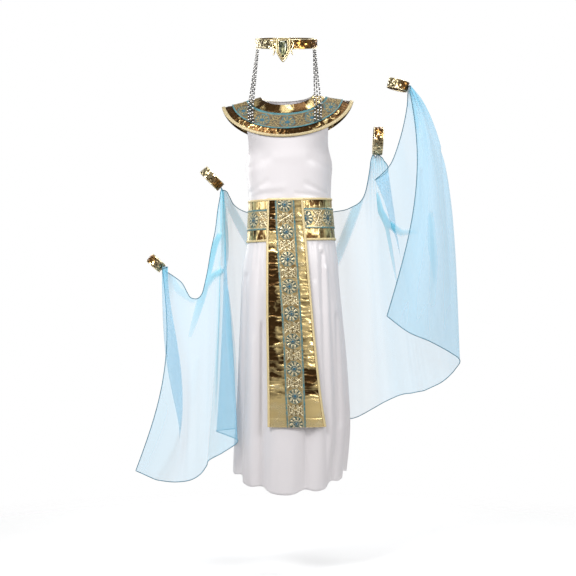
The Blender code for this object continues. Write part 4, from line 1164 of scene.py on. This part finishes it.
class QUEEN_OT_bands(bpy.types.Operator):
    """Armbands, wrist cuffs and headband of sequin cloth"""
    bl_idname = "queen.bands"
    bl_label = "Sequin bands"

    def sequins(self, name, centres, out, along, radius, seed, amber_way):
        """Small eight-sided discs over a band, each tipped a little its own way, with a painted amber shade
        towards one side and painted dark reflections on some.
        """
        centres, out = centres.reshape(-1, 3), out.reshape(-1, 3)
        chance = np.random.default_rng(seed)
        tip = chance.normal(0, 0.22, (len(centres), 2))
        normal = unit(out + along * tip[:, :1] + np.cross(along, out) * tip[:, 1:])
        first = unit(np.cross(normal, along))
        frames = np.stack([first, np.cross(normal, first), normal], axis=1)
        turn = turns(8)
        disc = np.stack([np.cos(turn), np.sin(turn), 0 * turn], axis=-1)
        size = radius * chance.uniform(0.9, 1.05, len(centres))
        points, faces = copies(disc, [list(range(8))], centres + out * COVER_SINK, size, frames)
        # Painted amber shade, growing towards one side of the band
        amber = soft_step(out @ np.array(amber_way) - 0.15 + chance.normal(0, 0.15, len(centres)), 0.9)
        # Painted dark reflections on sequins chosen at random
        masks = {"tint": np.repeat(chance.beta(0.6, 1.1, len(centres)), 8), "amber": np.repeat(amber, 8)}
        make_piece(name, "sequin", points, faces, "sequin", masks=masks, smooth=False)

    def band(self, name, place, around, detail, start, wall, axis, radius, seed, amber_way, rows):
        """Cloth, rows of sequins and two hems of a band.

        place gives the points at shares of a turn, widths up the band and a distance outwards, and their
        outward directions. The rows of sequins lie half a step on from one another.
        """
        columns, hem_points, lines = detail
        share, up = np.meshgrid(np.linspace(start, start + 1, columns, endpoint=False), lines)
        points, _ = place(share, up * (BAND_WIDTH - 0.0006), -0.0002)
        base = cloth_piece(name + "_cloth", "backing", points, wall, "sequin", [name], closed=True)
        count = int(around / (radius * SEQUIN_PITCH))
        row, number = np.meshgrid(np.arange(rows), np.arange(count), indexing="ij")
        up = (row / (rows - 1) - 0.5) * (BAND_WIDTH - 0.0055)
        centres, out = place((number + 0.5 * (row % 2)) / count, up, 0)
        self.sequins(name + "_sequins", centres, out, axis, radius, seed, amber_way)
        for sign, end in ((-1, "low"), (1, "high")):
            turn = np.linspace(start, start + 1, hem_points, endpoint=False)
            path, _ = place(turn, np.full_like(turn, sign * (BAND_WIDTH / 2 - 0.0009)), 0)
            make_piece(f"{name}_hem_{end}", "gold", *tube(path, HEM_RADIUS, 8, closed=True), "sequin")

    def execute(self, context):
        radius = begin(context.scene).sequin_radius
        upward = np.linspace(-0.5, 0.5, 9)
        for seed, band in enumerate(BANDS):
            axis = unit(np.array(band.axis))
            side = unit(np.cross(axis, (0.0, 1.0, 0.0)))
            ahead = np.cross(side, axis)

            def on_limb(share, up, distance):
                """Points round a limb band and their outward directions."""
                turn = 2 * np.pi * share[..., None]
                out = np.cos(turn) * side + np.sin(turn) * ahead
                return band.centre + axis * up[..., None] + out * (band.radius - COVER_SINK + distance), out

            self.band(band.name, on_limb, 2 * math.pi * band.radius, (72, 90, upward), 0, 0.0016, axis,
                      radius, seed, band.amber_way, 6)

        def on_head(share, up, distance):
            """Points round the headband and their outward directions."""
            return head_point(360 * share, up, HEADBAND_WALL - COVER_SINK + distance)

        # The headband's painted amber shade lies towards +x
        self.band("headband", on_head, HEAD_ROUND, (180, 200, upward[::-1]), -0.5, 0.0014, (0.0, 0.0, 1.0),
                  radius, 9, (1.3, 0, 0), 7)
        return {"FINISHED"}


def head_point(angle, up, distance):
    """Points on the headband, which slopes down to the front, moved out; also their outward directions."""
    turn = np.radians(angle)
    normal = unit(np.stack([np.sin(turn) * HEAD_HALF[1], -np.cos(turn) * HEAD_HALF[0], 0 * turn], axis=-1))
    across = HEAD_CENTRE[0] + HEAD_HALF[0] * np.sin(turn) + normal[..., 0] * distance
    depth = HEAD_CENTRE[1] - HEAD_HALF[1] * np.cos(turn) + normal[..., 1] * distance
    height = HEAD_CENTRE[2] + up + HEAD_SLOPE * (depth - HEAD_CENTRE[1])
    return np.stack([across, depth, height], axis=-1), normal


def shield_outline(wide, tall, count):
    """Closed outline of the shield, scaled across and upright about its middle."""
    right = [(row.half_width, row.z) for row in reversed(SHIELD)]
    left = [(-row.half_width, row.z) for row in SHIELD]
    corners = np.array(left + right + left[:1])
    along = running_length(corners)
    place = np.linspace(0, along[-1], count, endpoint=False)
    x, z = (np.interp(place, along, corners[:, k]) for k in (0, 1))
    return SHIELD_X + x * wide, SHIELD_MIDDLE_Z + (z - SHIELD_MIDDLE_Z) * tall


class QUEEN_OT_jewels(bpy.types.Operator):
    """Medallion with its double rim and faceted stone, the scroll wings, and the bead strands"""
    bl_idname = "queen.jewels"
    bl_label = "Jewels"

    def rings(self, steps, count):
        """Rings of the shield's outline, each so far ahead of its back and so large, closed at both ends."""
        rings = []
        for ahead, share in steps:
            x, z = shield_outline(share, 1 - 0.8 * (1 - share), count)
            rings.append(np.stack([x, np.full(count, SHIELD_BACK_Y - ahead / 1000), z], axis=-1))
        first = np.arange(count)
        faces = [face[::-1] for face in grid_faces(len(steps), count, True).tolist()]
        faces += [(first + (len(steps) - 1) * count)[::-1].tolist(), first.tolist()]
        return np.concatenate(rings), faces

    def scroll(self, scroll):
        """Wire in front of the headband along the scroll's points, thicker in its middle, with grains."""
        x, z = smooth_rows(scroll.points, np.linspace(0, len(scroll.points) - 1, 40)).T
        y = HEAD_CENTRE[1] - HEAD_HALF[1] * np.sqrt(1 - ((x - HEAD_CENTRE[0]) / HEAD_HALF[0]) ** 2)
        path = np.stack([x, y - SCROLL_AHEAD, z], axis=-1)
        wire = tube(path, WIRE_RADIUS - WIRE_TAPER * np.linspace(-1, 1, 40) ** 2, 10)
        grains = copies(*round_bead(), path[::4] + np.array([0, -0.0016, 0]), GRAIN_RADIUS)
        make_piece(scroll.name + "_wire", "gold", *joined([wire, grains]), "setting", [scroll.name])

    def execute(self, context):
        sizes = begin(context.scene)
        make_piece("medallion_setting", "gold", *self.rings(SETTING_RINGS, 96), "setting", ["medallion"])
        stone = make_piece("stone_cut", "stone", *self.rings(STONE_RINGS, 14), "stone", ["stone"],
                           smooth=False)
        chance = np.random.default_rng(4)
        facet = stone.data.attributes.new("facet", "FLOAT", "FACE")
        low = np.array([side.center.z for side in stone.data.polygons]) < SHIELD_MIDDLE_Z
        # Painted reflections on the facets at random, more of them on the lower ones
        depth = chance.beta(np.where(low, 0.5, 0.3), np.where(low, 0.8, 2.6))
        facet.data.foreach_set("value", depth.astype(np.float32))
        for scroll in SCROLLS:
            self.scroll(scroll)
        for strand in STRANDS:
            self.beads(sizes, strand)
        return {"FINISHED"}

    def strand_paths(self, strand):
        """Path of each strand: from the headband's lower edge down, then over the collar."""
        edge = ROW["collar_edge"]
        levels = np.linspace(strand.first_level, strand.last_level, 4)
        half_width = np.interp(levels, np.arange(len(SECTIONS)), [section.half_width for section in SECTIONS])
        near = np.array([-1, 0, 1])
        paths = []
        for number, across in enumerate(strand.collar_x):
            lower = []
            for level, angle in zip(levels, np.degrees(np.arcsin(across / half_width))):
                lower.append(body_grid(0, edge, level + 0.1 * near, angle + near, STRAND_OUT)[1, 1])
            root_angle = np.array(strand.root_angle + (number - 1) * STRAND_ANGLE)
            root, _ = head_point(root_angle, -BAND_WIDTH / 2 - 0.001, 0.0)
            hang = [root + (lower[0] - root) * share for share in (0, 0.25, 0.5, 0.75)]
            paths.append(smooth_rows(hang + lower, np.linspace(0, len(hang + lower) - 1, 400)))
        return paths

    def beads(self, sizes, strand):
        """Silver and dark beads in turn along each strand, on a thread."""
        silver, dark, threads = [], [], []
        for number, path in enumerate(self.strand_paths(strand)):
            along = running_length(path)
            spots = np.arange(0.003, along[-1], sizes.bead_radius * BEAD_PITCH)
            centres = np.stack([np.interp(spots, along, path[:, k]) for k in range(3)], axis=-1)
            light = (np.arange(len(spots)) + number) % 2 == 0
            silver.append(centres[light])
            dark.append(centres[~light])
            threads.append(tube(path[::4], THREAD_RADIUS, 5))
        name = "beads_" + strand.side
        for kind, groups, size, nodes in (("silver", silver, 1.0, [name]), ("dark", dark, DARK_BEAD, [])):
            beads = copies(*round_bead(), np.concatenate(groups), sizes.bead_radius * size)
            make_piece(f"{name}_{kind}", kind, *beads, "beads", nodes)
        make_piece(name + "_thread", "dark", *joined(threads), "beads")


class QUEEN_OT_stage(bpy.types.Operator):
    """Pale round floor, soft lights, white surroundings and the camera"""
    bl_idname = "queen.stage"
    bl_label = "Stage"

    def execute(self, context):
        scene = context.scene
        begin(scene)
        turn = turns(64)
        points = FLOOR_RADIUS * np.stack([np.cos(turn), np.sin(turn), 0 * turn], axis=-1) + (0, 0, FLOOR_Z)
        make_piece("stage_floor", "floor", points, [list(range(64))])
        for light in LIGHTS:
            made = bpy.data.lights.new(light.name, "AREA")
            made.shape = "SQUARE"
            made.size = light.size
            made.energy = light.power
            made.spread = math.radians(light.spread)
            lamp = bpy.data.objects.new(light.name, made)
            scene.collection.objects.link(lamp)
            lamp.location = light.place
            x, y, z = np.array((0, 0, light.aim_z)) - np.array(light.place)
            tip = math.acos(-z / math.hypot(x, y, z))
            lamp.rotation_euler = (tip, 0, math.atan2(y, x) - math.pi / 2)
        scene.world = self.surroundings()
        camera = bpy.data.objects.new("camera", bpy.data.cameras.new("camera"))
        scene.collection.objects.link(camera)
        camera.data.lens = CAMERA_LENS
        camera.data.sensor_width = 36
        camera.location = CAMERA_PLACE
        camera.rotation_euler = (math.radians(90), 0, 0)
        scene.camera = camera
        scene.view_settings.view_transform = "Standard"
        scene.cycles.transparent_max_bounces = 24
        return {"FINISHED"}

    def surroundings(self):
        """White behind the costume, and a dim even light on it."""
        world = bpy.data.worlds.new("soft_room")
        world.use_nodes = True
        tree = world.node_tree
        tree.nodes.clear()
        dim = add_node(tree, "Background", {"Color": (0.86, 0.86, 0.87), "Strength": 0.36}).outputs[0]
        white = add_node(tree, "Background", {"Color": (1, 1, 1)}).outputs[0]
        seen = add_node(tree, "LightPath").outputs["Is Camera Ray"]
        both = add_node(tree, "MixShader", {"Fac": seen, 1: dim, 2: white}).outputs["Shader"]
        add_node(tree, "OutputWorld", {"Surface": both})
        return world


class QUEEN_PT_panel(bpy.types.Panel):
    """Buttons that build the costume"""
    bl_idname = "QUEEN_PT_panel"
    bl_label = "Egyptian queen costume"
    bl_space_type = "VIEW_3D"
    bl_region_type = "UI"
    bl_category = "Costume"

    def draw(self, context):
        for operator in OPERATORS:
            self.layout.operator(operator.bl_idname)


OPERATORS = (QUEEN_OT_dress, QUEEN_OT_collar, QUEEN_OT_belt, QUEEN_OT_panel, QUEEN_OT_drape,
             QUEEN_OT_bands, QUEEN_OT_jewels, QUEEN_OT_stage)


def register():
    """Register the classes and the two groups of settings."""
    for item in (QueenSizes, QueenColours, *OPERATORS, QUEEN_PT_panel):
        bpy.utils.register_class(item)
    bpy.types.Scene.queen_sizes = bpy.props.PointerProperty(type=QueenSizes)
    bpy.types.Scene.queen_colours = bpy.props.PointerProperty(type=QueenColours)


def unregister():
    """Undo register."""
    del bpy.types.Scene.queen_colours
    del bpy.types.Scene.queen_sizes
    for item in reversed((QueenSizes, QueenColours, *OPERATORS, QUEEN_PT_panel)):
        bpy.utils.unregister_class(item)


def main():
    """Build the whole costume."""
    register()
    for name in ("dress", "collar", "belt", "panel", "drape", "bands", "jewels", "stage"):
        getattr(bpy.ops.queen, name)()


if __name__ == "__main__":
    main()
